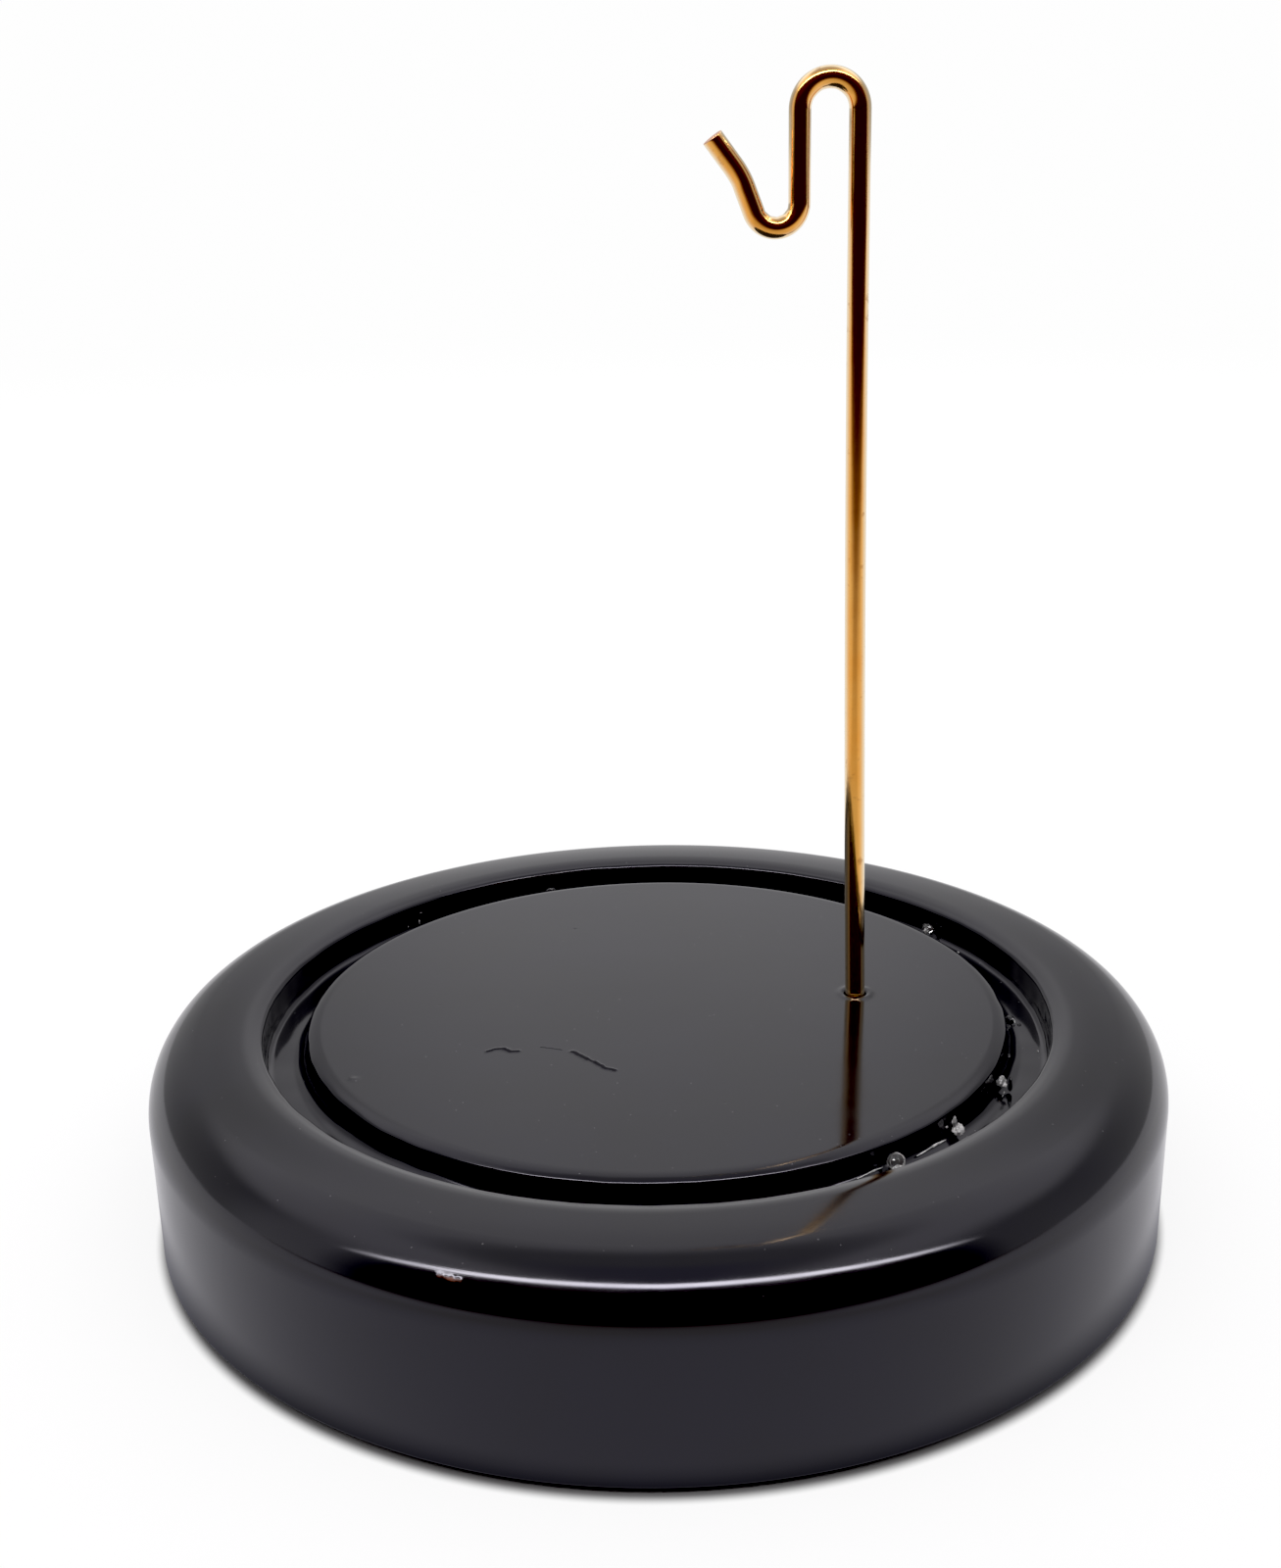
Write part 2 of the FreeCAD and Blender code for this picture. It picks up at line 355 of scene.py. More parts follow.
MOTTLE = Effect(
    "mottle",
    (
        ("Place", Socket.VECTOR, (0.0, 0.0, 0.0)),
        ("First", Socket.COLOUR, (0.5, 0.5, 0.5, 1.0)),
        ("Second", Socket.COLOUR, (0.5, 0.5, 0.5, 1.0)),
        ("Patches per metre", Socket.NUMBER, 100.0),
    ),
    (("Colour", Socket.COLOUR), ("Share", Socket.NUMBER)),
    fill_mottle,
)


# ---------------------------------------------------------------------------------------------
# Finishes
# ---------------------------------------------------------------------------------------------

Colour = tuple[float, float, float, float]
Span = tuple[float, float]


def opaque(red: float, green: float, blue: float) -> Colour:
    """A colour with no transparency, in linear light."""
    return (red, green, blue, 1.0)


WHITE = opaque(1.0, 1.0, 1.0)


def new_material(name: str) -> tuple[bpy.types.Material, Tree]:
    """An empty material and the tree to fill.

    Args:
        name: The material's name.

    Returns:
        The material and its tree.
    """
    made = bpy.data.materials.new(name)
    made.use_nodes = True
    return made, Tree(made.node_tree)


@dataclass(frozen=True)
class BlackLacquer:
    """Gloss black lacquer over dark wood, worn through where the piece is chipped."""

    black: Colour = opaque(0.0006, 0.0006, 0.0012)
    blue_black: Colour = opaque(0.001, 0.001, 0.0035)
    wood: Colour = opaque(0.16, 0.052, 0.022)
    wood_dark: Colour = opaque(0.06, 0.02, 0.01)
    dust: Colour = opaque(0.3, 0.3, 0.31)
    gloss: float = 0.1
    worn_gloss: float = 0.5
    scratched_gloss: float = 0.95
    gloss_changes: Span = (-0.015, 0.02)
    ior: float = 1.5
    tint: Colour = opaque(1.0, 0.972, 1.085)
    coat_patches: float = 60.0
    grain_patches: float = 2600.0
    grain_stretch: tuple[float, float, float] = (1.0, 1.0, 0.12)
    dust_film: float = 0.0012
    dust_specks: float = 0.25
    waves: float = 0.35
    peel: float = 0.04
    grit: float = 0.012
    wave_depth: float = 0.02 * MM

    def material(self) -> bpy.types.Material:
        """Builds the material. The mesh's chip and scratch attributes steer its wear."""
        made, tree = new_material("black_lacquer")
        place = tree.add("TexCoord").outputs["Object"]
        chip = tree.add("Attribute", attribute_name=Mark.CHIP.value).outputs["Fac"]
        scratch = tree.add("Attribute", attribute_name=Mark.SCRATCH.value).outputs["Fac"]
        coat = tree.group(
            MOTTLE.group(),
            {
                "Place": place,
                "First": self.black,
                "Second": self.blue_black,
                "Patches per metre": self.coat_patches,
            },
        )
        grain_place = tree.add("Mapping", {0: place, 3: self.grain_stretch}).outputs[0]
        wood = tree.group(
            MOTTLE.group(),
            {
                "Place": grain_place,
                "First": self.wood_dark,
                "Second": self.wood,
                "Patches per metre": self.grain_patches,
            },
        )
        dust = tree.group(
            DUST.group(), {"Place": place, "Film": self.dust_film, "Specks": self.dust_specks}
        ).outputs[0]
        colour = tree.mix(dust, coat.outputs[0], self.dust)
        colour = tree.mix(chip, colour, wood.outputs[0])
        uneven = tree.ramp(tree.noise(place, scale=260.0, detail=3.0), 0.3, 0.7, *self.gloss_changes)
        rough = tree.ramp(chip, 0.0, 1.0, self.gloss, self.worn_gloss)
        rough = tree.maths("MAXIMUM", rough, tree.ramp(scratch, 0.0, 0.6, 0.0, self.scratched_gloss))
        rough = tree.maths("ADD", rough, uneven, clamp=True)
        waves = tree.group(
            BRUSH_WAVES.group(),
            {"Place": place, "Waves": self.waves, "Peel": self.peel, "Grit": self.grit},
        ).outputs[0]
        bump = tree.add("Bump", {"Strength": 1.0, "Distance": self.wave_depth, "Height": waves})
        shader = tree.add(
            "BsdfPrincipled",
            {
                "Base Color": colour,
                "Roughness": rough,
                "Normal": bump.outputs[0],
                "IOR": self.ior,
                "Specular Tint": self.tint,
            },
        )
        tree.add("OutputMaterial", {0: shader.outputs[0]})
        return made


@dataclass(frozen=True)
class PolishedBrass:
    """Drawn brass wire, polished, with faint die lines along it and a bare copper-pink cut end. Towards its
    grazing edges it turns pale: partly the metal's own paling there, partly a painted sheen.
    """

    # Pale: the brass's colour at grazing edges, partly its real paling there and partly a painted sheen.
    pale: Colour = opaque(0.98, 0.82, 0.56)
    deep: Colour = opaque(0.9, 0.46, 0.11)
    rich: Colour = opaque(0.86, 0.38, 0.07)
    tarnish: Colour = opaque(0.4, 0.16, 0.04)
    cut: Colour = opaque(0.78, 0.45, 0.3)
    gloss: float = 0.1
    gloss_changes: Span = (-0.02, 0.05)
    cut_gloss: float = 0.42
    metal_patches: float = 120.0
    # Span of the painted edge sheen over how edge-on the surface is seen.
    painted_edge_sheen: Span = (0.1, 0.62)
    tarnish_share: float = 0.55
    lines_around: float = 90.0
    lines_along: float = 40.0
    dent_share: float = 4.0
    line_depth: float = 0.0011 * MM

    def material(self) -> bpy.types.Material:
        """Builds the material. The wire's UV map runs around it and along it."""
        made, tree = new_material("polished_brass")
        place = tree.add("TexCoord").outputs["Object"]
        along = tree.add("UVMap", uv_map="wire").outputs[0]
        cut = tree.add("Attribute", attribute_name="cut_end").outputs["Fac"]
        metal = tree.group(
            MOTTLE.group(),
            {
                "Place": place,
                "First": self.deep,
                "Second": self.rich,
                "Patches per metre": self.metal_patches,
            },
        )
        # Painted sheen: the colour goes pale where the wire is seen edge-on, over the metal's own paling.
        edge = tree.ramp(tree.add("LayerWeight", {"Blend": 0.5}).outputs["Facing"], *self.painted_edge_sheen)
        spots = tree.noise(place, scale=900.0, detail=4.0, roughness=0.6)
        spots = tree.ramp(spots, 0.6, 0.76, out_high=self.tarnish_share)
        colour = tree.mix(edge, metal.outputs[0], self.pale)
        colour = tree.mix(spots, colour, self.tarnish)
        colour = tree.mix(cut, colour, self.cut)
        stretched = tree.add(
            "Mapping", {0: along, 3: (self.lines_around, self.lines_along, 1.0)}
        ).outputs[0]
        lines = tree.noise(stretched, scale=1.0, detail=3.0, roughness=0.6)
        dents = tree.noise(place, scale=420.0, detail=2.0)
        height = tree.maths("MULTIPLY_ADD", dents, self.dent_share, lines)
        bump = tree.add("Bump", {"Strength": 1.0, "Distance": self.line_depth, "Height": height})
        rough = tree.maths(
            "ADD",
            tree.ramp(cut, 0.0, 1.0, self.gloss, self.cut_gloss),
            tree.ramp(lines, 0.3, 0.7, *self.gloss_changes),
        )
        shader = tree.add(
            "BsdfPrincipled",
            {
                "Base Color": colour,
                "Metallic": 1.0,
                "Roughness": rough,
                "Normal": bump.outputs[0],
            },
        )
        tree.add("OutputMaterial", {0: shader.outputs[0]})
        return made


@dataclass(frozen=True)
class WoolFelt:
    """Pressed black felt: matted fibres with a pale sheen and a little lint, the raised fibres painted
    lighter as a painted highlight.
    """

    dark: Colour = opaque(0.012, 0.011, 0.012)
    light: Colour = opaque(0.045, 0.042, 0.044)
    lint: Colour = opaque(0.35, 0.34, 0.33)
    sheen: float = 0.5
    sheen_roughness: float = 0.5
    roughness: float = 0.95
    specular_level: float = 0.15
    felt_patches: float = 1500.0
    swirl: float = 0.004
    coarse_fibres: float = 2600.0
    fine_fibres: float = 4300.0
    fibre_width: float = 0.16
    # Painted highlight: how much lighter the raised fibres are painted.
    painted_fibre_highlight: float = 0.5
    fibre_depth: float = 0.08 * MM

    def material(self) -> bpy.types.Material:
        """Builds the material."""
        made, tree = new_material("wool_felt")
        place = tree.add("TexCoord").outputs["Object"]
        bent = tree.add("TexNoise", {"Vector": place, "Scale": 500.0, "Detail": 2.0}).outputs["Color"]
        shift = (self.swirl, self.swirl, self.swirl)
        swirl = tree.add(
            "VectorMath", {0: bent, 1: shift, 2: place}, operation="MULTIPLY_ADD"
        ).outputs[0]
        first, second = (
            tree.add("TexVoronoi", {"Vector": swirl, "Scale": scale}, feature="DISTANCE_TO_EDGE")
            for scale in (self.coarse_fibres, self.fine_fibres)
        )
        fibre = tree.maths("MINIMUM", first.outputs[0], second.outputs[0])
        height = tree.ramp(fibre, 0.0, self.fibre_width, 1.0, 0.0)
        felt = tree.group(
            MOTTLE.group(),
            {
                "Place": place,
                "First": self.dark,
                "Second": self.light,
                "Patches per metre": self.felt_patches,
            },
        )
        lint = tree.ramp(tree.noise(swirl, scale=1300.0, detail=2.0), low=0.74, high=0.78)
        # Painted highlight: raised fibres are mixed towards the light felt colour.
        colour = tree.mix(
            tree.maths("MULTIPLY", height, self.painted_fibre_highlight), felt.outputs[0], self.light
        )
        colour = tree.mix(lint, colour, self.lint)
        bump = tree.add("Bump", {"Strength": 0.9, "Distance": self.fibre_depth, "Height": height})
        shader = tree.add(
            "BsdfPrincipled",
            {
                "Base Color": colour,
                "Roughness": self.roughness,
                "Normal": bump.outputs[0],
                "Sheen Weight": self.sheen,
                "Sheen Roughness": self.sheen_roughness,
                "Specular IOR Level": self.specular_level,
            },
        )
        tree.add("OutputMaterial", {0: shader.outputs[0]})
        return made


@dataclass(frozen=True)
class DriedGlue:
    """Glue that dried in drops: clear where it is thick, whitish where it is scuffed."""

    name: str
    body: Colour
    scuff: Colour
    clearness: float
    gloss: float
    scuff_from: float
    scuff_fade: float = 0.12
    scuff_gloss: float = 0.45
    scuff_depth: float = 0.03 * MM
    ior: float = 1.5

    def material(self) -> bpy.types.Material:
        """Builds the material."""
        made, tree = new_material(self.name)
        place = tree.add("TexCoord").outputs["Object"]
        patches = tree.noise(place, scale=1500.0, detail=3.0, roughness=0.6)
        scuffed = tree.ramp(patches, self.scuff_from, self.scuff_from + self.scuff_fade)
        colour = tree.mix(scuffed, self.body, self.scuff)
        rough = tree.ramp(scuffed, 0.0, 1.0, self.gloss, self.scuff_gloss)
        bump = tree.add("Bump", {"Strength": 0.6, "Distance": self.scuff_depth, "Height": patches})
        shader = tree.add(
            "BsdfPrincipled",
            {
                "Base Color": colour,
                "Roughness": rough,
                "Normal": bump.outputs[0],
                "IOR": self.ior,
                "Transmission Weight": self.clearness,
            },
        )
        tree.add("OutputMaterial", {0: shader.outputs[0]})
        return made


CLEAR_GLUE = DriedGlue(
    "clear_glue", opaque(0.6, 0.6, 0.6), opaque(0.7, 0.7, 0.71), 0.95, 0.04, 0.66
)
MILKY_GLUE = DriedGlue(
    "milky_glue", opaque(0.42, 0.42, 0.42), opaque(0.7, 0.69, 0.68), 0.25, 0.22, 0.42
)
GREY_GLUE = DriedGlue(
    "grey_glue", opaque(0.2, 0.2, 0.2), opaque(0.42, 0.415, 0.41), 0.2, 0.15, 0.5
)
BLACK_DRIP = DriedGlue(
    "lacquer_drip", opaque(0.006, 0.006, 0.008), opaque(0.02, 0.02, 0.022), 0.0, 0.06, 0.7
)


# ---------------------------------------------------------------------------------------------
# Mesh tools
# ---------------------------------------------------------------------------------------------


def new_piece(name: str, mesh: bpy.types.Mesh, material: bpy.types.Material) -> bpy.types.Object:
    """A smooth-shaded object for a finished mesh.

    Args:
        name: The piece's name.
        mesh: Its mesh, in metres in the stand's frame.
        material: Its finish.

    Returns:
        The object, linked into the scene.
    """
    mesh.materials.append(material)
    mesh.polygons.foreach_set("use_smooth", [True] * len(mesh.polygons))
    piece = bpy.data.objects.new(name, mesh)
    bpy.context.scene.collection.objects.link(piece)
    return piece


def ring_faces(rows: int, columns: int) -> list[tuple[int, ...]]:
    """Faces of a closed skin over rings of points, with a cap at each end.

    Args:
        rows: How many rings.
        columns: Points on each ring.

    Returns:
        The faces, facing outward where the rings run up an anticlockwise column.
    """
    faces = []
    for row in range(rows - 1):
        low, high = row * columns, (row + 1) * columns
        for column in range(columns):
            after = (column + 1) % columns
            faces.append((low + column, low + after, high + after, high + column))
    faces.append(tuple(reversed(range(columns))))
    last = (rows - 1) * columns
    faces.append(tuple(range(last, last + columns)))
    return faces


def skin(name: str, rings: np.ndarray) -> bpy.types.Mesh:
    """A closed mesh over rings of points.

    Args:
        name: The mesh's name.
        rings: Points in millimetres, as rows by columns by three.

    Returns:
        The mesh, in metres.
    """
    rows, columns, _ = rings.shape
    mesh = bpy.data.meshes.new(name)
    points = (rings.reshape(-1, 3) * MM).tolist()
    mesh.from_pydata(points, [], ring_faces(rows, columns))
    mesh.update()
    return mesh


def between(first: float, last: float, count: int) -> np.ndarray:
    """Evenly spaced values between two ends, without the ends."""
    return np.linspace(first, last, count + 2)[1:-1]


def onward(first: float, last: float, count: int) -> np.ndarray:
    """Evenly spaced values after the first end, up to the last one."""
    return np.linspace(first, last, count + 1)[1:]


@dataclass(frozen=True)
class Wave:
    """A field of smooth waves: length in millimetres, seed of its own, and greatest height."""

    length: float
    seed: float
    height: float = 1.0

    def at(self, point: Sequence[float]) -> float:
        """The field's value at a point in millimetres, up or down within its height."""
        shift = Vector((self.seed, 2.0 * self.seed, 3.0 * self.seed))
        return self.height * noise.noise(Vector(point) / self.length + shift)


def bell(distance: float, width: float) -> float:
    """A smooth bump, 1 at no distance and nearly nothing past twice its width."""
    return math.exp(-((distance / width) ** 2))


def way_from_path(point: Vector, path: Sequence[Vector]) -> float:
    """Shortest distance from a point to a bent line.

    Args:
        point: The point.
        path: The line's corners, one or more.

    Returns:
        The distance.
    """
    if len(path) == 1:
        return (point - path[0]).length
    best = math.inf
    for start, end in zip(path, path[1:]):
        along = end - start
        share = max(0.0, min(1.0, (point - start).dot(along) / along.length_squared))
        best = min(best, (point - start - along * share).length)
    return best


# ---------------------------------------------------------------------------------------------
# The turned base
# ---------------------------------------------------------------------------------------------


@dataclass(frozen=True)
class Blemish:
    """A mark in the lacquer along a short bent line: a scratch, a chip, a dent or a nib."""

    kind: Mark
    path: tuple[tuple[float, float, float], ...]
    half_width: float
    depth: float
    reach: float

    def points(self) -> list[Vector]:
        """The line's corners as vectors, in millimetres."""
        return [Vector(corner) for corner in self.path]


@dataclass
class TurnedBase:
    """The lacquered wooden base: shoulder, rim, dome groove, table and the wire's hole.

    Radii and heights are in millimetres. Heights are above the surface that the stand rests on.
    """

    radius: float
    underside: float
    rim_height: float
    foot_taper: float = 0.2
    edge_round: float = 0.4
    side_top: float = 14.3
    shoulder_top: float = 20.5
    shoulder_centre: float = 45.3
    rim_edge: float = 46.0
    crown_place: float = 41.8
    crown: float = 0.35
    crown_fall: float = 0.3
    groove_outer: float = 39.5
    groove_inner: float = 35.2
    groove_middle: float = 37.35
    groove_floor: float = 17.1
    inner_corner: float = 1.5
    outer_corner: float = 0.8
    outer_lip: float = 0.5
    table_height: float = 20.2
    table_edge_width: float = 1.5
    table_edge_drop: float = 0.6
    table_edge_power: float = 2.0 / 2.05
    crown_power: float = 2.2
    hole_place: float = 20.6
    hole_radius: float = 1.08
    hole_depth: float = 11.9
    mouth_width: float = 0.22
    mouth_depth: float = 0.3
    round_the_hole: float = 3.6
    swelling: float = 0.085
    swelling_place: float = 1.5
    swelling_half: float = 0.38
    swelling_wings: float = 0.35
    wings_turn: float = 0.4
    swelling_wave: Wave = Wave(0.9, 8.0, 0.25)
    columns: int = 640
    groove_reach: float = 3.4
    wall_reach: float = 0.45
    wall_wave: Wave = Wave(5.0, 1.0, 0.085)
    wall_ripple: Wave = Wave(1.9, 2.0, 0.0425)
    floor_reach: float = 0.9
    floor_wave: Wave = Wave(4.0, 5.0, 0.05)
    skin_wave: Wave = Wave(17.0, 3.0, 0.016)
    skin_ripple: Wave = Wave(6.0, 4.0, 0.004)
    ragged_wave: Wave = Wave(0.45, 6.0, 0.35)
    ragged_ripple: Wave = Wave(0.2, 7.0, 0.2)
    foot_clear: float = 0.5
    side_clear: float = 3.0
    swelling_reach: float = 4.0
    refining: tuple[tuple[int, float], ...] = ((1, 2.2), (2, 1.3))
    paint_gain: float = 2.2
    paint_start: float = 0.5
    blemishes: tuple[Blemish, ...] = ()

    @staticmethod
    def arc(
        centre: tuple[float, float], size: tuple[float, float], first: float, last: float, steps: int
    ) -> list[tuple[float, float]]:
        """Points of an upright ellipse's arc in the half section.

        Args:
            centre: Its centre, radius and height.
            size: Half its width and half its height.
            first: Start angle in degrees, 0 outward and 90 up.
            last: End angle in degrees.
            steps: How many points after the first.

        Returns:
            The points.
        """
        angles = np.radians(np.linspace(first, last, steps + 1))
        return [
            (centre[0] + size[0] * math.cos(a), centre[1] + size[1] * math.sin(a)) for a in angles
        ]

    def shoulder(self) -> list[tuple[float, float]]:
        """Rim and shoulder, from the groove's lip out and down to the side.

        Returns:
            Points of the gently crowned rim, then of an ellipse that turns upright at the side.
        """
        crest = self.rim_height + self.crown
        inner = self.crown_place - self.groove_outer - self.outer_lip
        outer = self.rim_edge - self.crown_place
        points = []
        for radius in onward(self.groove_outer + self.outer_lip, self.rim_edge, count=43):
            away = radius - self.crown_place
            fall = (-away / inner) ** self.crown_power if away < 0.0 else (away / outer) ** 2
            points.append((radius, crest - self.crown_fall * fall))
        across = self.radius - self.shoulder_centre
        down = self.shoulder_top - self.side_top
        first = math.acos((self.rim_edge - self.shoulder_centre) / across)
        for angle in onward(first, 0.0, count=60):
            out, up = across * math.cos(angle), down * math.sin(angle)
            points.append((self.shoulder_centre + out, self.side_top + up))
        return points

    def groove(self) -> list[tuple[float, float]]:
        """Section of the dome groove, from the table's edge to the inner lip of the rim.

        Returns:
            Points of the table's soft edge, both walls, the rounded corners and the outer lip.
        """
        edge_start = self.groove_inner - self.table_edge_width
        points = []
        for angle in np.radians(np.linspace(90.0, 0.0, 33)):
            out = abs(math.cos(angle)) ** self.table_edge_power
            down = 1.0 - abs(math.sin(angle)) ** self.table_edge_power
            radius = edge_start + self.table_edge_width * out
            points.append((radius, self.table_height - self.table_edge_drop * down))
        near, far = self.inner_corner, self.outer_corner
        wall_top = self.table_height - self.table_edge_drop
        for height in between(wall_top, self.groove_floor + near, count=5):
            points.append((self.groove_inner, height))
        centre = (self.groove_inner + near, self.groove_floor + near)
        points += self.arc(centre, (near, near), 180.0, 270.0, 14)
        for radius in between(self.groove_inner + near, self.groove_outer - far, count=10):
            points.append((radius, self.groove_floor))
        centre = (self.groove_outer - far, self.groove_floor + far)
        points += self.arc(centre, (far, far), 270.0, 360.0, 9)
        lip = self.outer_lip
        edge = self.rim_height + self.crown - self.crown_fall - lip
        for height in between(self.groove_floor + far, edge, count=7):
            points.append((self.groove_outer, height))
        points += self.arc((self.groove_outer + lip, edge), (lip, lip), 180.0, 102.0, 13)
        return points

    def side_and_underside(self) -> list[tuple[float, float]]:
        """Side and bottom edge, from the shoulder down and in to the middle of the underside.

        Returns:
            Points of the half section.
        """
        foot = self.radius - self.foot_taper
        size = self.edge_round
        low = self.underside + size
        fall = low - self.side_top
        points = []
        for share in between(0.0, 1.0, count=14):
            points.append((self.radius - self.foot_taper * share, self.side_top + fall * share))
        points += self.arc((foot - size, low), (size, size), 0.0, -90.0, 6)
        for radius in between(foot - size, 0.0, count=26):
            points.append((radius, self.underside))
        points.append((0.4, self.underside))
        return points

    def section(self) -> list[tuple[float, float]]:
        """The half section from the table's edge outward and down to the underside."""
        return self.groove() + self.shoulder() + self.side_and_underside()

    def hole_rings(self) -> list[tuple[float, float, float]]:
        """The wire's hole from its bottom to the table.

        Returns:
            Centre's distance from the base's axis, radius and height of each ring.
        """
        bottom = self.table_height - self.hole_depth
        mouth = self.table_height - self.mouth_depth
        rings = [(self.hole_place, 0.3, bottom)]
        rings.append((self.hole_place, self.hole_radius, bottom))
        for share in onward(0.0, 1.0, count=8):
            rings.append((self.hole_place, self.hole_radius, bottom + (mouth - bottom) * share))
        for angle in np.radians(onward(0.0, 90.0, count=5)):
            radius = self.hole_radius + self.mouth_width * (1.0 - math.cos(angle))
            rings.append((self.hole_place, radius, mouth + self.mouth_depth * math.sin(angle)))
        return rings

    def table_rings(self) -> list[tuple[float, float, float]]:
        """Rings that grow from the hole's mouth to the table's edge, with their centres moving.

        Returns:
            Centre's distance from the base's axis, radius and height of each ring.
        """
        start = self.hole_radius + self.mouth_width
        growth = self.groove_inner - self.table_edge_width - self.round_the_hole
        rings = []
        for radius in between(start, self.round_the_hole, count=20):
            rings.append((self.hole_place, radius, self.table_height))
        for share in np.linspace(0.0, 1.0, 149, endpoint=False):
            radius = self.round_the_hole + growth * share
            rings.append((self.hole_place * (1.0 - share), radius, self.table_height))
        return rings

    def rings(self) -> np.ndarray:
        """Every ring of the base, from the bottom of the hole to the middle of the underside.

        Returns:
            Points in millimetres, as rows by columns by three.
        """
        turn = np.linspace(0.0, 2.0 * math.pi, self.columns, endpoint=False)
        around = np.stack([np.cos(turn), np.sin(turn)], axis=1)
        rows = []
        for offset, radius, height in self.hole_rings() + self.table_rings():
            flat = around * radius + np.array([0.0, offset])
            rows.append(np.column_stack([flat, np.full(self.columns, height)]))
        for radius, height in self.section():
            rows.append(np.column_stack([around * radius, np.full(self.columns, height)]))
        return np.array(rows)

    def uneven(self, point: Vector) -> Vector:
        """Moves a point of the skin by the unevenness that turning and lacquering by hand leave.

        Args:
            point: The point, in millimetres.

        Returns:
            The moved point.
        """
        radius = math.hypot(point.x, point.y)
        moved = point.copy()
        near_groove = abs(radius - self.groove_middle) < self.groove_reach
        if near_groove and point.z > self.groove_floor - 1.0:
            walls = (self.groove_inner, self.groove_outer)
            out = max(bell(radius - wall, self.wall_reach) for wall in walls)
            out *= self.wall_wave.at(point) + self.wall_ripple.at(point)
            moved.x += point.x / radius * out
            moved.y += point.y / radius * out
            floor = bell(point.z - self.groove_floor, self.floor_reach)
            moved.z += floor * self.floor_wave.at(point)
        elif point.z > self.underside + self.foot_clear:
            wave = self.skin_wave.at(point) + self.skin_ripple.at(point)
            if point.z > self.side_top + self.side_clear:
                moved.z += wave
            else:
                moved.x += point.x / radius * wave
                moved.y += point.y / radius * wave
        from_hole = math.hypot(point.x, point.y - self.hole_place)
        on_table = point.z > self.table_height - 0.25
        if on_table and from_hole < self.swelling_reach:
            turn = math.atan2(point.y - self.hole_place, point.x)
            lift = 1.0 + self.swelling_wings * math.cos(2.0 * turn + self.wings_turn)
            lift += self.swelling_wave.at(point)
            ring = bell(from_hole - self.swelling_place, self.swelling_half)
            moved.z += self.swelling * lift * ring
        return moved

    def refine(self, mesh: bpy.types.Mesh) -> None:
        """Divides the faces around each blemish, so that the mark has a shape of its own.

        Args:
            mesh: The base's mesh, in metres.
        """
        work = bmesh.new()
        work.from_mesh(mesh)
        for cuts, share in self.refining:
            edges = []
            for blemish in self.blemishes:
                path = blemish.points()
                middle = sum(path, Vector()) / len(path)
                far = max((corner - middle).length for corner in path) + blemish.reach * share
                for edge in work.edges:
                    spot = (edge.verts[0].co + edge.verts[1].co) / (2.0 * MM)
                    near = abs(spot.x - middle.x) < far and abs(spot.y - middle.y) < far
                    if near and way_from_path(spot, path) < blemish.reach * share:
                        edges.append(edge)
            bmesh.ops.subdivide_edges(
                work, edges=list(set(edges)), cuts=cuts, use_grid_fill=True, smooth=0.0
            )
        work.to_mesh(mesh)
        work.free()

    def mark(self, mesh: bpy.types.Mesh) -> None:
        """Presses the blemishes into the skin and paints their attributes.

        Args:
            mesh: The base's mesh, in metres.
        """
        painted = (Mark.SCRATCH, Mark.CHIP)
        layers = {kind: mesh.attributes.new(kind.value, "FLOAT", "POINT") for kind in painted}
        mesh.update()
        normals = [vertex.normal.copy() for vertex in mesh.vertices]
        for blemish in self.blemishes:
            path = blemish.points()
            middle = sum(path, Vector()) / len(path)
            far = max((corner - middle).length for corner in path) + blemish.reach
            for vertex in mesh.vertices:
                spot = vertex.co / MM
                if (spot - middle).length > far:
                    continue
                ragged = 1.0 + self.ragged_wave.at(spot) + self.ragged_ripple.at(spot)
                depth = bell(way_from_path(spot, path), blemish.half_width * ragged)
                vertex.co -= normals[vertex.index] * (blemish.depth * depth * MM)
                if blemish.kind in layers:
                    value = layers[blemish.kind].data[vertex.index]
                    paint = min(1.0, self.paint_gain * depth - self.paint_start)
                    value.value = max(value.value, paint)

    def build(self, finish: BlackLacquer) -> bpy.types.Object:
        """Makes the base and sets it in place of its CAD node.

        Args:
            finish: The lacquer.

        Returns:
            The piece.
        """
        rings = self.rings()
        flat = rings.reshape(-1, 3)
        for index, point in enumerate(flat):
            flat[index] = self.uneven(Vector(point))
        mesh = skin("lacquered_base", rings)
        self.refine(mesh)
        self.mark(mesh)
        piece = new_piece("lacquered_base", mesh, finish.material())
        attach(piece, Body.BASE.value)
        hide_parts(Node.TURNED_BASE.value)
        LOG.info("%s: %d vertices", piece.name, len(mesh.vertices))
        return piece


# ---------------------------------------------------------------------------------------------
# The wire
# ---------------------------------------------------------------------------------------------


@dataclass(frozen=True)
class PlierMarks:
    """A row of shallow flats that pliers left on a bend, in millimetres along the wire."""

    count: int
    first: float
    pitch: float
    depth: float
    half_width: float

    def depth_at(self, along: float) -> float:
        """How deep the flats are at a distance from where they are counted."""
        places = (self.first + self.pitch * number for number in range(self.count))
        return sum(self.depth * bell(along - place, self.half_width) for place in places)


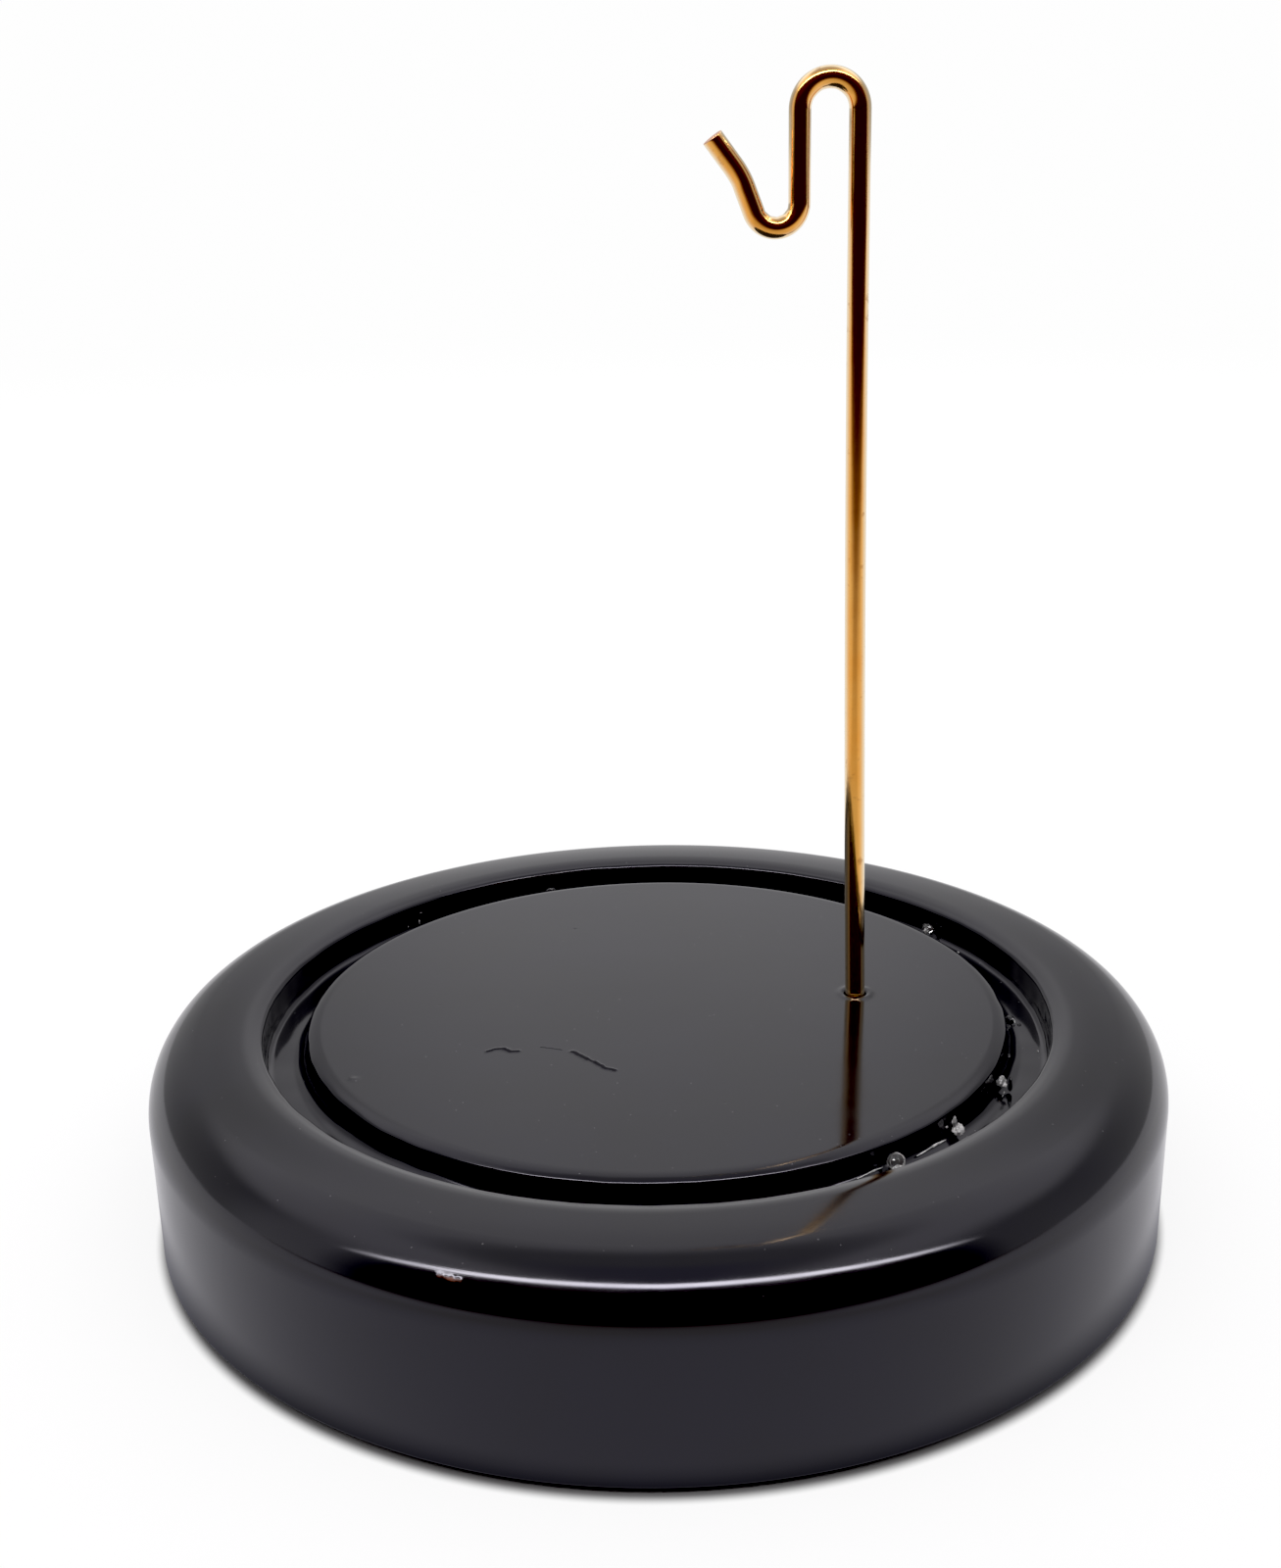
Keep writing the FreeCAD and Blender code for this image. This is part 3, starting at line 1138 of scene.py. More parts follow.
@dataclass
class HookWire:
    """The bent brass wire, in the plane X = 0: post, crown, valley and the leaning outer leg.

    Lengths are in millimetres, and heights are above the table.
    """

    post_place: float
    table: float
    wire_radius: float = 1.0
    foot_depth: float = 11.8
    foot_chamfer: float = 0.3
    crown_height: float = 86.2
    crown_radius: float = 2.73
    valley_height: float = 78.25
    valley_radius: float = 2.15
    lead_angle: float = 21.0
    lead_length: float = 2.3
    tip_angle: float = 37.0
    tip_bend: float = 8.0
    tip_length: float = 3.05
    bow: float = 0.93
    bow_height: float = 90.0
    sides: int = 56
    cut_round: float = 0.09
    drawing_waves: float = 0.004
    drawing_length: float = 3.0
    crown_marks: PlierMarks = PlierMarks(4, 1.6, 1.9, 0.018, 0.45)
    valley_marks: PlierMarks = PlierMarks(5, 0.9, 1.15, 0.035, 0.32)
    tip_mark: PlierMarks = PlierMarks(1, -4.6, 0.0, 0.03, 0.5)

    def centreline(self) -> np.ndarray:
        """Points along the wire's middle, from its foot to its tip.

        Returns:
            Distance forward of the post and height above the table, row by row.
        """
        line: list[tuple[float, float]] = []
        for height in np.linspace(-self.foot_depth, self.crown_height, 110):
            line.append((0.0, height))
        for angle in np.radians(onward(0.0, 180.0, count=40)):
            line.append(
                (
                    self.crown_radius * (1.0 - math.cos(angle)),
                    self.crown_height + self.crown_radius * math.sin(angle),
                )
            )
        leg = 2.0 * self.crown_radius
        for height in onward(self.crown_height, self.valley_height, count=25):
            line.append((leg, height))
        centre = leg + self.valley_radius
        for angle in np.radians(onward(0.0, 180.0 - self.lead_angle, count=40)):
            line.append(
                (
                    centre - self.valley_radius * math.cos(angle),
                    self.valley_height - self.valley_radius * math.sin(angle),
                )
            )
        lead, tip = math.radians(self.lead_angle), math.radians(self.tip_angle)
        forward, up = line[-1]
        for share in onward(0.0, 1.0, count=9):
            step = self.lead_length * share
            line.append((forward + step * math.sin(lead), up + step * math.cos(lead)))
        forward, up = line[-1]
        for lean in onward(lead, tip, count=9):
            line.append(
                (
                    forward + self.tip_bend * (math.cos(lead) - math.cos(lean)),
                    up + self.tip_bend * (math.sin(lean) - math.sin(lead)),
                )
            )
        forward, up = line[-1]
        for share in onward(0.0, 1.0, count=13):
            step = self.tip_length * share
            line.append((forward + step * math.sin(tip), up + step * math.cos(tip)))
        return np.array(line)

    def bowed(self, line: np.ndarray) -> np.ndarray:
        """Gives the post its slight bow towards the front, which grows from the table up.

        Args:
            line: The straight wire's centreline.

        Returns:
            The bowed centreline.
        """
        share = np.clip(line[:, 1] / self.bow_height, 0.0, 1.0)
        bent = line.copy()
        bent[:, 0] += self.bow * (1.0 - (1.0 - share) ** 2)
        return bent

    def marks(self, along: float, turn: float, length: float) -> float:
        """Change of the wire's radius from the pliers and the die.

        Args:
            along: Distance from the foot along the wire.
            turn: Angle around the wire, 0 on the inner side of the crown.
            length: The wire's whole length.

        Returns:
            The change, in millimetres.
        """
        spot = Vector((math.cos(turn), math.sin(turn), along / self.drawing_length))
        change = self.drawing_waves * noise.noise(spot)
        inner, outer = max(0.0, -math.cos(turn)), max(0.0, math.cos(turn))
        crown_start = self.foot_depth + self.crown_height
        leg = self.crown_height - self.valley_height
        valley_start = crown_start + math.pi * self.crown_radius + leg
        change -= self.valley_marks.depth_at(along - valley_start) * inner**3
        change -= self.crown_marks.depth_at(along - crown_start) * outer**3
        change -= self.tip_mark.depth_at(along - length) * outer**2
        return change

    def rings(self) -> tuple[np.ndarray, np.ndarray, np.ndarray]:
        """The wire's skin as rings of points.

        Returns:
            Points in millimetres, distance along the wire for each ring, and how much of each
            ring belongs to the bare cut end.
        """
        line = self.bowed(self.centreline())
        step = np.linalg.norm(np.diff(line, axis=0), axis=1)
        along = np.concatenate([[0.0], np.cumsum(step)])
        way = np.gradient(line, axis=0)
        way /= np.linalg.norm(way, axis=1)[:, None]
        profile: list[tuple[int, float, float, float]] = [
            (0, 0.0, 0.3, 0.0),
            (0, 0.0, self.wire_radius - self.foot_chamfer, 0.0),
            (0, self.foot_chamfer, self.wire_radius, 0.0),
        ]
        profile += [(index, 0.0, self.wire_radius, 0.0) for index in range(2, len(line) - 1)]
        last = len(line) - 1
        for angle in np.radians(np.linspace(0.0, 90.0, 5)):
            back = self.cut_round * (1.0 - math.sin(angle))
            size = self.wire_radius - self.cut_round * (1.0 - math.cos(angle))
            profile.append((last, -back, size, math.sin(angle)))
        for share in (0.75, 0.45, 0.15):
            profile.append((last, 0.0, (self.wire_radius - self.cut_round) * share, 1.0))
        turn = np.linspace(0.0, 2.0 * math.pi, self.sides, endpoint=False)
        rows, places, cut = [], [], []
        for index, shift, size, bare in profile:
            forward, up = line[index] + way[index] * shift
            across = np.array([way[index][1], -way[index][0]])
            ring = []
            for angle in turn:
                marked = size == self.wire_radius
                reach = size + (self.marks(along[index], angle, along[-1]) if marked else 0.0)
                out, side = reach * math.cos(angle), reach * math.sin(angle)
                behind = self.post_place - forward - across[0] * out
                ring.append((side, behind, self.table + up + across[1] * out))
            rows.append(ring)
            places.append(along[index] + shift)
            cut.append(bare)
        return np.array(rows), np.array(places), np.array(cut)

    def build(self, finish: PolishedBrass) -> bpy.types.Object:
        """Makes the wire and sets it in place of its CAD node.

        Args:
            finish: The brass.

        Returns:
            The piece.
        """
        rings, places, cut = self.rings()
        mesh = skin("brass_wire", rings)
        work = bmesh.new()
        work.from_mesh(mesh)
        bmesh.ops.recalc_face_normals(work, faces=work.faces[:])
        work.to_mesh(mesh)
        work.free()
        bare = mesh.attributes.new("cut_end", "FLOAT", "POINT")
        bare.data.foreach_set("value", np.repeat(cut, self.sides).astype(np.float32))
        around = mesh.uv_layers.new(name="wire")
        for loop in mesh.loops:
            row, column = divmod(loop.vertex_index, self.sides)
            share = abs(column / self.sides - 0.5) * 2.0
            around.data[loop.index].uv = (share, places[row] / places[-1])
        piece = new_piece("brass_wire", mesh, finish.material())
        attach(piece, Body.HOOK.value)
        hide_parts(Node.HOOK_WIRE.value)
        LOG.info("%s: %.1f mm of wire", piece.name, places[-1])
        return piece


# ---------------------------------------------------------------------------------------------
# The felt
# ---------------------------------------------------------------------------------------------


@dataclass
class FeltPad:
    """The felt disc under the base, cut out by hand, with fibres standing out along its edge."""

    radius: float
    thickness: float
    columns: int = 720
    edge_reach: float = 1.5
    edge_wave: Wave = Wave(7.0, 9.0, 0.12)
    edge_ripple: Wave = Wave(0.8, 10.0, 0.072)
    matting: Wave = Wave(1.1, 12.0, 0.03)
    fibres: int = 900
    fibre_length: Span = (0.25, 0.8)
    fibre_lean: Span = (-1.1, 1.1)
    fibre_rise: Span = (-0.15, 0.1)
    fibre_radius: float = 0.012
    fibre_root: float = 0.1
    fibre_low: float = 0.05
    seed: int = 11

    def disc(self) -> bpy.types.Mesh:
        """The disc itself.

        Returns:
            A closed mesh with a soft edge and a matted underside.
        """
        half = self.thickness / 2.0
        section = [(0.5, self.thickness)]
        section += [(radius, self.thickness) for radius in np.linspace(3.0, self.radius - half, 16)]
        for angle in np.radians(np.linspace(60.0, -60.0, 7)):
            section.append((self.radius - half + half * math.cos(angle), half + half * math.sin(angle)))
        section += [(radius, 0.0) for radius in np.linspace(self.radius - half, 3.0, 90)]
        section.append((0.5, 0.0))
        turn = np.linspace(0.0, 2.0 * math.pi, self.columns, endpoint=False)
        rows = []
        for radius, height in section:
            row = []
            for angle in turn:
                spot = (radius * math.cos(angle), radius * math.sin(angle), height)
                edge = bell(radius - self.radius, self.edge_reach)
                grown = radius + edge * (self.edge_wave.at(spot) + self.edge_ripple.at(spot))
                lift = self.matting.height + self.matting.at(spot) if height < half else 0.0
                row.append((grown * math.cos(angle), grown * math.sin(angle), height + lift))
            rows.append(row)
        return skin("felt_disc", np.array(rows))

    def fringe(self) -> bpy.types.Mesh:
        """Short loose fibres along the cut edge, each a thin bent three-sided tube.

        Returns:
            One mesh of many closed fibres.
        """
        random = np.random.default_rng(self.seed)
        points: list[tuple[float, float, float]] = []
        faces: list[tuple[int, ...]] = []
        for _ in range(self.fibres):
            turn = random.uniform(0.0, 2.0 * math.pi)
            height = random.uniform(0.15, self.thickness - 0.1)
            length = random.uniform(*self.fibre_length)
            lean, rise = random.uniform(*self.fibre_lean), random.uniform(*self.fibre_rise)
            first = len(points)
            for step in range(4):
                share = step / 3.0
                angle = turn + lean * length * share * share / self.radius
                radius = self.radius - self.fibre_root + length * share * (1.0 - 0.3 * share)
                up = max(self.fibre_low, height + rise * share)
                for corner in range(3):
                    around = 2.0 * math.pi * corner / 3.0
                    out = self.fibre_radius * (1.0 - 0.6 * share)
                    wide = angle + out * math.cos(around) / radius
                    tall = up + out * math.sin(around)
                    points.append((radius * math.cos(wide) * MM, radius * math.sin(wide) * MM, tall * MM))
            for step in range(3):
                low = first + 3 * step
                for corner in range(3):
                    after = (corner + 1) % 3
                    faces.append((low + corner, low + after, low + 3 + after, low + 3 + corner))
            faces.append((first + 2, first + 1, first))
            faces.append((first + 9, first + 10, first + 11))
        mesh = bpy.data.meshes.new("felt_fringe")
        mesh.from_pydata(points, [], faces)
        return mesh

    def build(self, finish: WoolFelt) -> list[bpy.types.Object]:
        """Makes the pad and sets it in place of its CAD node.

        Args:
            finish: The felt.

        Returns:
            The disc and its fringe.
        """
        material = finish.material()
        disc = new_piece("felt_disc", self.disc(), material)
        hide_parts(Node.FELT_PAD.value)
        fringe = new_piece("felt_fringe", self.fringe(), material)
        for piece in (disc, fringe):
            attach(piece, Body.BASE.value)
            LOG.info("%s: %d faces", piece.name, len(piece.data.polygons))
        return [disc, fringe]


# ---------------------------------------------------------------------------------------------
# What dried in the groove
# ---------------------------------------------------------------------------------------------


class Shape(Enum):
    """Forms that a dried drop takes."""

    BEAD = "bead"
    SHARD = "shard"
    THREAD = "thread"
    DRIP = "drip"
    RING = "ring"


@dataclass(frozen=True)
class Drop:
    """One dried drop: where it sits around the groove, how big it is and how it is turned."""

    name: str
    shape: Shape
    finish: DriedGlue
    turn: float
    radius: float
    height: float
    size: tuple[float, float, float]
    spin: float = 0.0


@dataclass
class GrooveResidue:
    """Dried glue and lacquer in the dome groove."""

    drops: tuple[Drop, ...]
    lump_waves: float = 1.6
    lump_ripples: float = 4.1
    ripple_share: float = 0.4
    shard_taper: float = 0.55
    drip_sag: float = 0.35

    def lump(self, drop: Drop) -> bpy.types.Mesh:
        """An uneven rounded lump, pulled to a blunt point where it is a shard.

        Args:
            drop: The drop.

        Returns:
            Its mesh about its own centre, in metres.
        """
        work = bmesh.new()
        bmesh.ops.create_icosphere(work, subdivisions=5, radius=1.0)
        rough = {Shape.BEAD: 0.05, Shape.DRIP: 0.1, Shape.SHARD: 0.24}[drop.shape]
        for vertex in work.verts:
            spot = vertex.co.copy()
            waves = noise.noise(spot * self.lump_waves + Vector((drop.turn, 0.0, 0.0)))
            ripples = noise.noise(spot * self.lump_ripples + Vector((0.0, drop.turn, 0.0)))
            swell = 1.0 + rough * (waves + self.ripple_share * ripples)
            if drop.shape is Shape.SHARD:
                taper = 1.0 - self.shard_taper * max(0.0, spot.z)
                spot.x *= taper
                spot.y *= taper
            if drop.shape is Shape.DRIP and spot.z < 0.0:
                spot.z *= self.drip_sag
            vertex.co = Vector(half * MM / 2.0 * part for half, part in zip(drop.size, spot * swell))
        mesh = bpy.data.meshes.new(drop.name)
        work.to_mesh(mesh)
        work.free()
        return mesh

    @staticmethod
    def thread(drop: Drop) -> bpy.types.Mesh:
        """A thin curled thread of glue.

        Args:
            drop: The drop: its length, the height of its curl and its thickness.

        Returns:
            Its mesh about its own middle, in metres.
        """
        length, curl, thick = drop.size
        shares = np.linspace(-0.5, 0.5, 25)
        middle = np.stack(
            [length * shares, curl * np.sin(3.0 * shares), 0.3 * curl * np.cos(5.0 * shares)], axis=1
        )
        rows = []
        for share, point in zip(shares, middle):
            size = thick / 2.0 * (1.0 - (1.9 * share) ** 4) * (1.0 + 0.3 * math.sin(9.0 * share))
            ring = []
            for angle in np.linspace(0.0, 2.0 * math.pi, 10, endpoint=False):
                out, up = size * math.cos(angle), size * math.sin(angle)
                ring.append((point[0], point[1] + out, point[2] + up))
            rows.append(ring)
        return skin(drop.name, np.array(rows))

    @staticmethod
    def burst_bubble(drop: Drop) -> bpy.types.Mesh:
        """The uneven rim that a burst bubble leaves, leaning outward.

        Args:
            drop: The drop: its width, its height and the rim's thickness.

        Returns:
            Its mesh about its own middle, in metres.
        """
        wide, tall, thick = drop.size
        work = bmesh.new()
        around, across = 40, 12
        rows = []
        for step in range(around):
            turn = 2.0 * math.pi * step / around
            size = thick / 2.0 * (1.0 + 0.45 * math.sin(turn + 3.6) + 0.2 * math.sin(5.0 * turn))
            row = []
            for part in range(across):
                angle = 2.0 * math.pi * part / across
                reach = math.cos(angle) * size
                spot = Vector((math.sin(angle) * size, math.cos(turn) * (wide / 2.0 + reach), 0.0))
                spot.z = math.sin(turn) * (tall / 2.0 + reach)
                spot.x -= 0.45 * spot.z
                row.append(work.verts.new(spot * MM))
            rows.append(row)
        for step, row in enumerate(rows):
            following = rows[(step + 1) % around]
            for part in range(across):
                after = (part + 1) % across
                work.faces.new((row[part], row[after], following[after], following[part]))
        bmesh.ops.recalc_face_normals(work, faces=work.faces)
        mesh = bpy.data.meshes.new(drop.name)
        work.to_mesh(mesh)
        work.free()
        return mesh

    def build(self) -> list[bpy.types.Object]:
        """Makes every drop and sets it on the base.

        Returns:
            The pieces.
        """
        materials: dict[str, bpy.types.Material] = {}
        pieces = []
        for drop in self.drops:
            if drop.finish.name not in materials:
                materials[drop.finish.name] = drop.finish.material()
            make = {Shape.THREAD: self.thread, Shape.RING: self.burst_bubble}
            mesh = make.get(drop.shape, self.lump)(drop)
            angle = math.radians(drop.turn)
            place = Vector((math.cos(angle), math.sin(angle), 0.0)) * drop.radius
            place.z = drop.height
            turn = Matrix.Rotation(angle + math.radians(drop.spin), 4, "Z")
            mesh.transform(Matrix.Translation(place * MM) @ turn)
            piece = new_piece(drop.name, mesh, materials[drop.finish.name])
            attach(piece, Body.BASE.value)
            LOG.info("%s: %s at %.0f degrees", piece.name, drop.shape.value, drop.turn)
            pieces.append(piece)
        return pieces


# ---------------------------------------------------------------------------------------------
# Studio
# ---------------------------------------------------------------------------------------------


def compass(front: float) -> tuple[tuple[float, float, float], tuple[float, float, float]]:
    """Level directions to the front and across it, one unit long.

    Args:
        front: Azimuth of the front in degrees.

    Returns:
        The way to the front, and the way to the right of whoever looks in from there.
    """
    turn = math.radians(front)
    return (math.sin(turn), -math.cos(turn), 0.0), (math.cos(turn), math.sin(turn), 0.0)


@dataclass(frozen=True)
class Sight:
    """Sockets that tell where a direction points, from the stand towards the light box."""

    forward: bpy.types.NodeSocket
    across: bpy.types.NodeSocket
    aside: bpy.types.NodeSocket
    up: bpy.types.NodeSocket
    slope: bpy.types.NodeSocket
    sunk: bpy.types.NodeSocket
    sideways: bpy.types.NodeSocket
    spread: bpy.types.NodeSocket
    in_front: bpy.types.NodeSocket


@dataclass
class LightBox:
    """A small white light box around the stand: open at the front, with a lamp bar over the opening.

    Directions are worked out from the front. A slope is height over distance forward, and a span
    says where a soft change starts and where it ends.
    """

    front: float
    front_edge: Span = (0.02, 0.1)
    wall_middle: float = 0.86
    wall_side: float = 0.55
    wall_turn: Span = (0.06, 0.28)
    wall_end: float = 0.75
    wall_end_turn: Span = (0.4, 0.9)
    wall_high: float = 1.0
    wall_high_rise: Span = (0.46, 0.66)
    lower_left: float = 0.75
    lower_right: float = 0.5
    lower_turn: Span = (-0.4, 0.4)
    lower_edge: Span = (-0.25, 0.1)
    upper_sides: float = 1.15
    upper_sides_rise: Span = (0.5, 0.78)
    upper_sides_turn: Span = (0.2, 0.5)
    zenith: float = 0.55
    zenith_rise: Span = (0.84, 0.97)
    near_ceiling: float = 0.46
    ceiling_edge: Span = (-0.05, 0.2)
    ceiling_turn: Span = (0.36, 0.1)
    ceiling_rise: Span = (0.3, 0.5)
    bar: float = 19.0
    bar_slope: float = 1.42
    bar_half: float = 0.24
    bar_core: float = 0.3
    bar_rise: float = 0.2
    bar_ends: Span = (3.6, 0.5)
    opening_top: float = 1.16
    opening_top_fade: float = 0.04
    opening_low: float = -0.1
    opening_low_fade: float = 0.06
    opening_left: float = 1.4
    opening_right: float = 1.55
    opening_side_fade: float = 2.2
    inside: float = 0.06
    inside_low: float = 0.02
    inside_rise: Span = (0.2, 0.45)
    backdrop: float = 0.99
    lamp_white: Colour = opaque(1.0, 0.99, 1.0)
    ceiling_blue: Colour = opaque(0.97, 0.95, 1.12)
    dusk: Colour = opaque(1.0, 0.12, 0.06)
    dusk_edge: Span = (0.9, 1.0)

    def sight(self, tree: Tree) -> Sight:
        """Works out where each direction points.

        Args:
            tree: The world's tree.

        Returns:
            The sockets.
        """
        ahead, beside = compass(self.front)
        way = tree.add("TexCoord").outputs["Generated"]
        forward, across = tree.along(way, ahead), tree.along(way, beside)
        up = tree.add("SeparateXYZ", {0: way}).outputs[2]
        near = tree.maths("MAXIMUM", forward, 0.001)
        slope, sideways = tree.maths("DIVIDE", up, near), tree.maths("DIVIDE", across, near)
        spread = tree.maths("ABSOLUTE", sideways)
        return Sight(
            forward=forward,
            across=across,
            aside=tree.maths("ABSOLUTE", across),
            up=up,
            slope=slope,
            sunk=tree.maths("MULTIPLY_ADD", spread, -self.bar_rise, slope),
            sideways=sideways,
            spread=spread,
            in_front=tree.ramp(forward, *self.front_edge),
        )

    def ceiling(self, tree: Tree, sight: Sight) -> bpy.types.NodeSocket:
        """The dim middle of the ceiling, towards the front.

        Args:
            tree: The world's tree.
            sight: Where each direction points.

        Returns:
            A mask.
        """
        mask = tree.maths(
            "MULTIPLY",
            tree.ramp(sight.forward, *self.ceiling_edge),
            tree.ramp(sight.aside, *self.ceiling_turn),
        )
        return tree.maths("MULTIPLY", mask, tree.ramp(sight.up, *self.ceiling_rise))

    def walls(
        self, tree: Tree, sight: Sight, ceiling: bpy.types.NodeSocket
    ) -> bpy.types.NodeSocket:
        """Light from the white walls and the ceiling.

        Args:
            tree: The world's tree.
            sight: Where each direction points.
            ceiling: The mask of the ceiling's dim middle.

        Returns:
            Its strength.
        """
        wall = tree.ramp(sight.aside, *self.wall_turn, self.wall_middle, self.wall_side)
        ends = tree.ramp(sight.aside, *self.wall_end_turn, 1.0, self.wall_end)
        wall = tree.maths("MULTIPLY", wall, ends)
        wall = tree.blend(tree.ramp(sight.up, *self.wall_high_rise), wall, self.wall_high)
        side = tree.ramp(sight.across, *self.lower_turn, self.lower_left, self.lower_right)
        level = tree.blend(tree.ramp(sight.forward, *self.lower_edge), wall, side)
        high_side = tree.maths(
            "MULTIPLY",
            tree.ramp(sight.up, *self.upper_sides_rise),
            tree.ramp(sight.aside, *self.upper_sides_turn),
        )
        level = tree.blend(high_side, level, self.upper_sides)
        level = tree.blend(tree.ramp(sight.up, *self.zenith_rise), level, self.zenith)
        return tree.blend(ceiling, level, self.near_ceiling)

    def opening(self, tree: Tree, sight: Sight) -> bpy.types.NodeSocket:
        """The dark opening at the front.

        Args:
            tree: The world's tree.
            sight: Where each direction points.

        Returns:
            A mask.
        """
        low, top = self.opening_low, self.opening_top
        left, right, fade = self.opening_left, self.opening_right, self.opening_side_fade
        height = tree.maths(
            "MULTIPLY",
            tree.ramp(sight.slope, low, low + self.opening_low_fade),
            tree.ramp(sight.sunk, top + self.opening_top_fade, top),
        )
        width = tree.maths(
            "MULTIPLY",
            tree.ramp(sight.sideways, -left - fade, -left),
            tree.ramp(sight.sideways, right + fade, right),
        )
        return tree.maths("MULTIPLY", tree.maths("MULTIPLY", height, width), sight.in_front)

    def lamp_bar(self, tree: Tree, sight: Sight) -> bpy.types.NodeSocket:
        """The lamp bar over the opening, drooping towards its ends.

        Args:
            tree: The world's tree.
            sight: Where each direction points.

        Returns:
            A mask.
        """
        off_bar = tree.maths("ABSOLUTE", tree.maths("SUBTRACT", sight.sunk, self.bar_slope))
        bar = tree.ramp(off_bar, self.bar_half, self.bar_core * self.bar_half)
        bar = tree.maths("MULTIPLY", bar, tree.ramp(sight.spread, *self.bar_ends))
        return tree.maths("MULTIPLY", bar, sight.in_front)

    def build(self) -> None:
        """Sets the world."""
        world = bpy.data.worlds.new("light_box")
        world.use_nodes = True
        bpy.context.scene.world = world
        tree = Tree(world.node_tree)
        sight = self.sight(tree)
        ceiling = self.ceiling(tree, sight)
        opening = self.opening(tree, sight)
        bar = self.lamp_bar(tree, sight)
        closed = tree.maths("SUBTRACT", 1.0, opening)
        level = tree.maths("MULTIPLY", self.walls(tree, sight, ceiling), closed)
        level = tree.maths("MULTIPLY_ADD", bar, self.bar, level)
        inside = tree.ramp(sight.slope, *self.inside_rise, self.inside_low, self.inside)
        level = tree.maths("MAXIMUM", level, inside)

        seen = tree.add("LightPath").outputs["Is Camera Ray"]
        cool = tree.maths("MULTIPLY", ceiling, tree.maths("SUBTRACT", 1.0, bar))
        tint = tree.mix(cool, self.lamp_white, self.ceiling_blue)
        tint = tree.mix(tree.ramp(opening, *self.dusk_edge), tint, self.dusk)
        tint = tree.mix(seen, tint, WHITE)
        strength = tree.blend(seen, level, self.backdrop)
        shader = tree.add("Background", {"Color": tint, "Strength": strength})
        tree.add("OutputWorld", {0: shader.outputs[0]})
        LOG.info("light box with its opening at azimuth %.1f", self.front)


@dataclass
class PaperFloor:
    """White paper that the stand rests on, pale and lost in the white beyond it, its glow painted dimmer
    towards the stand as painted shade.

    Lengths are in metres from the stand's axis, and a span says where a soft change starts and ends.
    """

    front: float
    reach: float = 6.0
    # The glow stops inside this radius and comes back over foot_edge: painted shade round the stand's foot,
    # on top of the real shade that the diffuse paper gets under the overhang.
    foot: float = 0.0503
    foot_edge: float = 0.0015
    # Painted shade: the paper's glow is dimmer near the stand and grows to far_glow further out.
    painted_shade_glow: float = 0.81
    far_glow: float = 0.99
    painted_shade_spread: Span = (0.08, 0.9)
    seen_white: float = 0.16
    white_fade: Span = (0.2, 0.9)
    # Painted shadow: a dark ring at the stand's foot in the paper that reflections see, fading out to the
    # near colour.
    painted_contact_shadow: Colour = opaque(0.16, 0.16, 0.19)
    painted_contact_shadow_end: float = 0.0552
    near: Colour = opaque(0.76, 0.75, 0.79)
    near_end: Span = (0.075, 0.12)
    paper_white: Colour = opaque(0.66, 0.64, 0.6)
    behind: Colour = opaque(0.85, 0.84, 0.86)
    behind_aside: Span = (0.05, 0.12)
    behind_back: Span = (0.03, -0.06)
    desk: Colour = opaque(0.17, 0.085, 0.035)
    desk_edge: Span = (0.1, 0.38)
    gloom: Colour = opaque(0.02, 0.001, 0.001)
    gloom_edge: Span = (0.28, 0.56)

    def build(self) -> bpy.types.Object:
        """Makes the floor.

        Returns:
            The floor.
        """
        mesh = bpy.data.meshes.new("paper_floor")
        far = self.reach
        mesh.from_pydata(
            [(-far, -far, 0.0), (far, -far, 0.0), (far, far, 0.0), (-far, far, 0.0)], [], [(0, 1, 2, 3)]
        )
        floor = new_piece("paper_floor", mesh, self.paper())
        return floor

    def paper(self) -> bpy.types.Material:
        """Paper that glows white with painted shade, dimmer towards the stand and dark round its foot, that
        shows a painted contact shadow and then a dim desk to what reflects it, and is clear from below.

        Returns:
            The material.
        """
        made, tree = new_material("white_paper")
        ahead, beside = compass(self.front)
        place = tree.add("TexCoord").outputs["Object"]
        forward = tree.along(place, ahead)
        aside = tree.maths("ABSOLUTE", tree.along(place, beside))
        distance = tree.add("VectorMath", {0: place}, operation="LENGTH").outputs["Value"]
        seen = tree.add("LightPath").outputs["Is Camera Ray"]
        # Painted shade: the glow dimmer near the stand, brighter further out.
        away = tree.ramp(distance, *self.painted_shade_spread, self.painted_shade_glow, self.far_glow)
        # Painted shade: no glow under the stand's edge, coming back just past it.
        glow_past_painted_foot_shadow = tree.ramp(distance, self.foot, self.foot + self.foot_edge)
        white = tree.ramp(distance, *self.white_fade, self.seen_white, 0.0)
        diffuse = tree.add("BsdfDiffuse", {"Color": tree.maths("MULTIPLY", white, seen)})
        # Painted contact shadow: a dark ring at the foot, for what reflects the paper.
        colour = tree.mix(tree.ramp(distance, self.foot, self.painted_contact_shadow_end), self.painted_contact_shadow, self.near)
        colour = tree.mix(tree.ramp(distance, *self.near_end), colour, self.paper_white)
        beside_it = tree.ramp(aside, *self.behind_aside)
        behind_it = tree.ramp(forward, *self.behind_back)
        round_the_back = tree.maths("MAXIMUM", beside_it, behind_it)
        colour = tree.mix(round_the_back, colour, self.behind)
        colour = tree.mix(tree.ramp(forward, *self.desk_edge), colour, self.desk)
        colour = tree.mix(tree.ramp(forward, *self.gloom_edge), colour, self.gloom)
        colour = tree.mix(seen, colour, WHITE)
        # The camera sees the glow with both painted shades; reflections see it at full strength.
        strength = tree.blend(seen, 1.0, tree.maths("MULTIPLY", away, glow_past_painted_foot_shadow))
        light = tree.add("Emission", {"Color": colour, "Strength": strength})
        both = tree.add("AddShader", {0: diffuse.outputs[0], 1: light.outputs[0]})
        below = tree.add("NewGeometry").outputs["Backfacing"]
        clear = tree.add("BsdfTransparent")
        open_below = tree.add("MixShader", {0: below, 1: both.outputs[0], 2: clear.outputs[0]})
        tree.add("OutputMaterial", {0: open_below.outputs[0]})
        return made


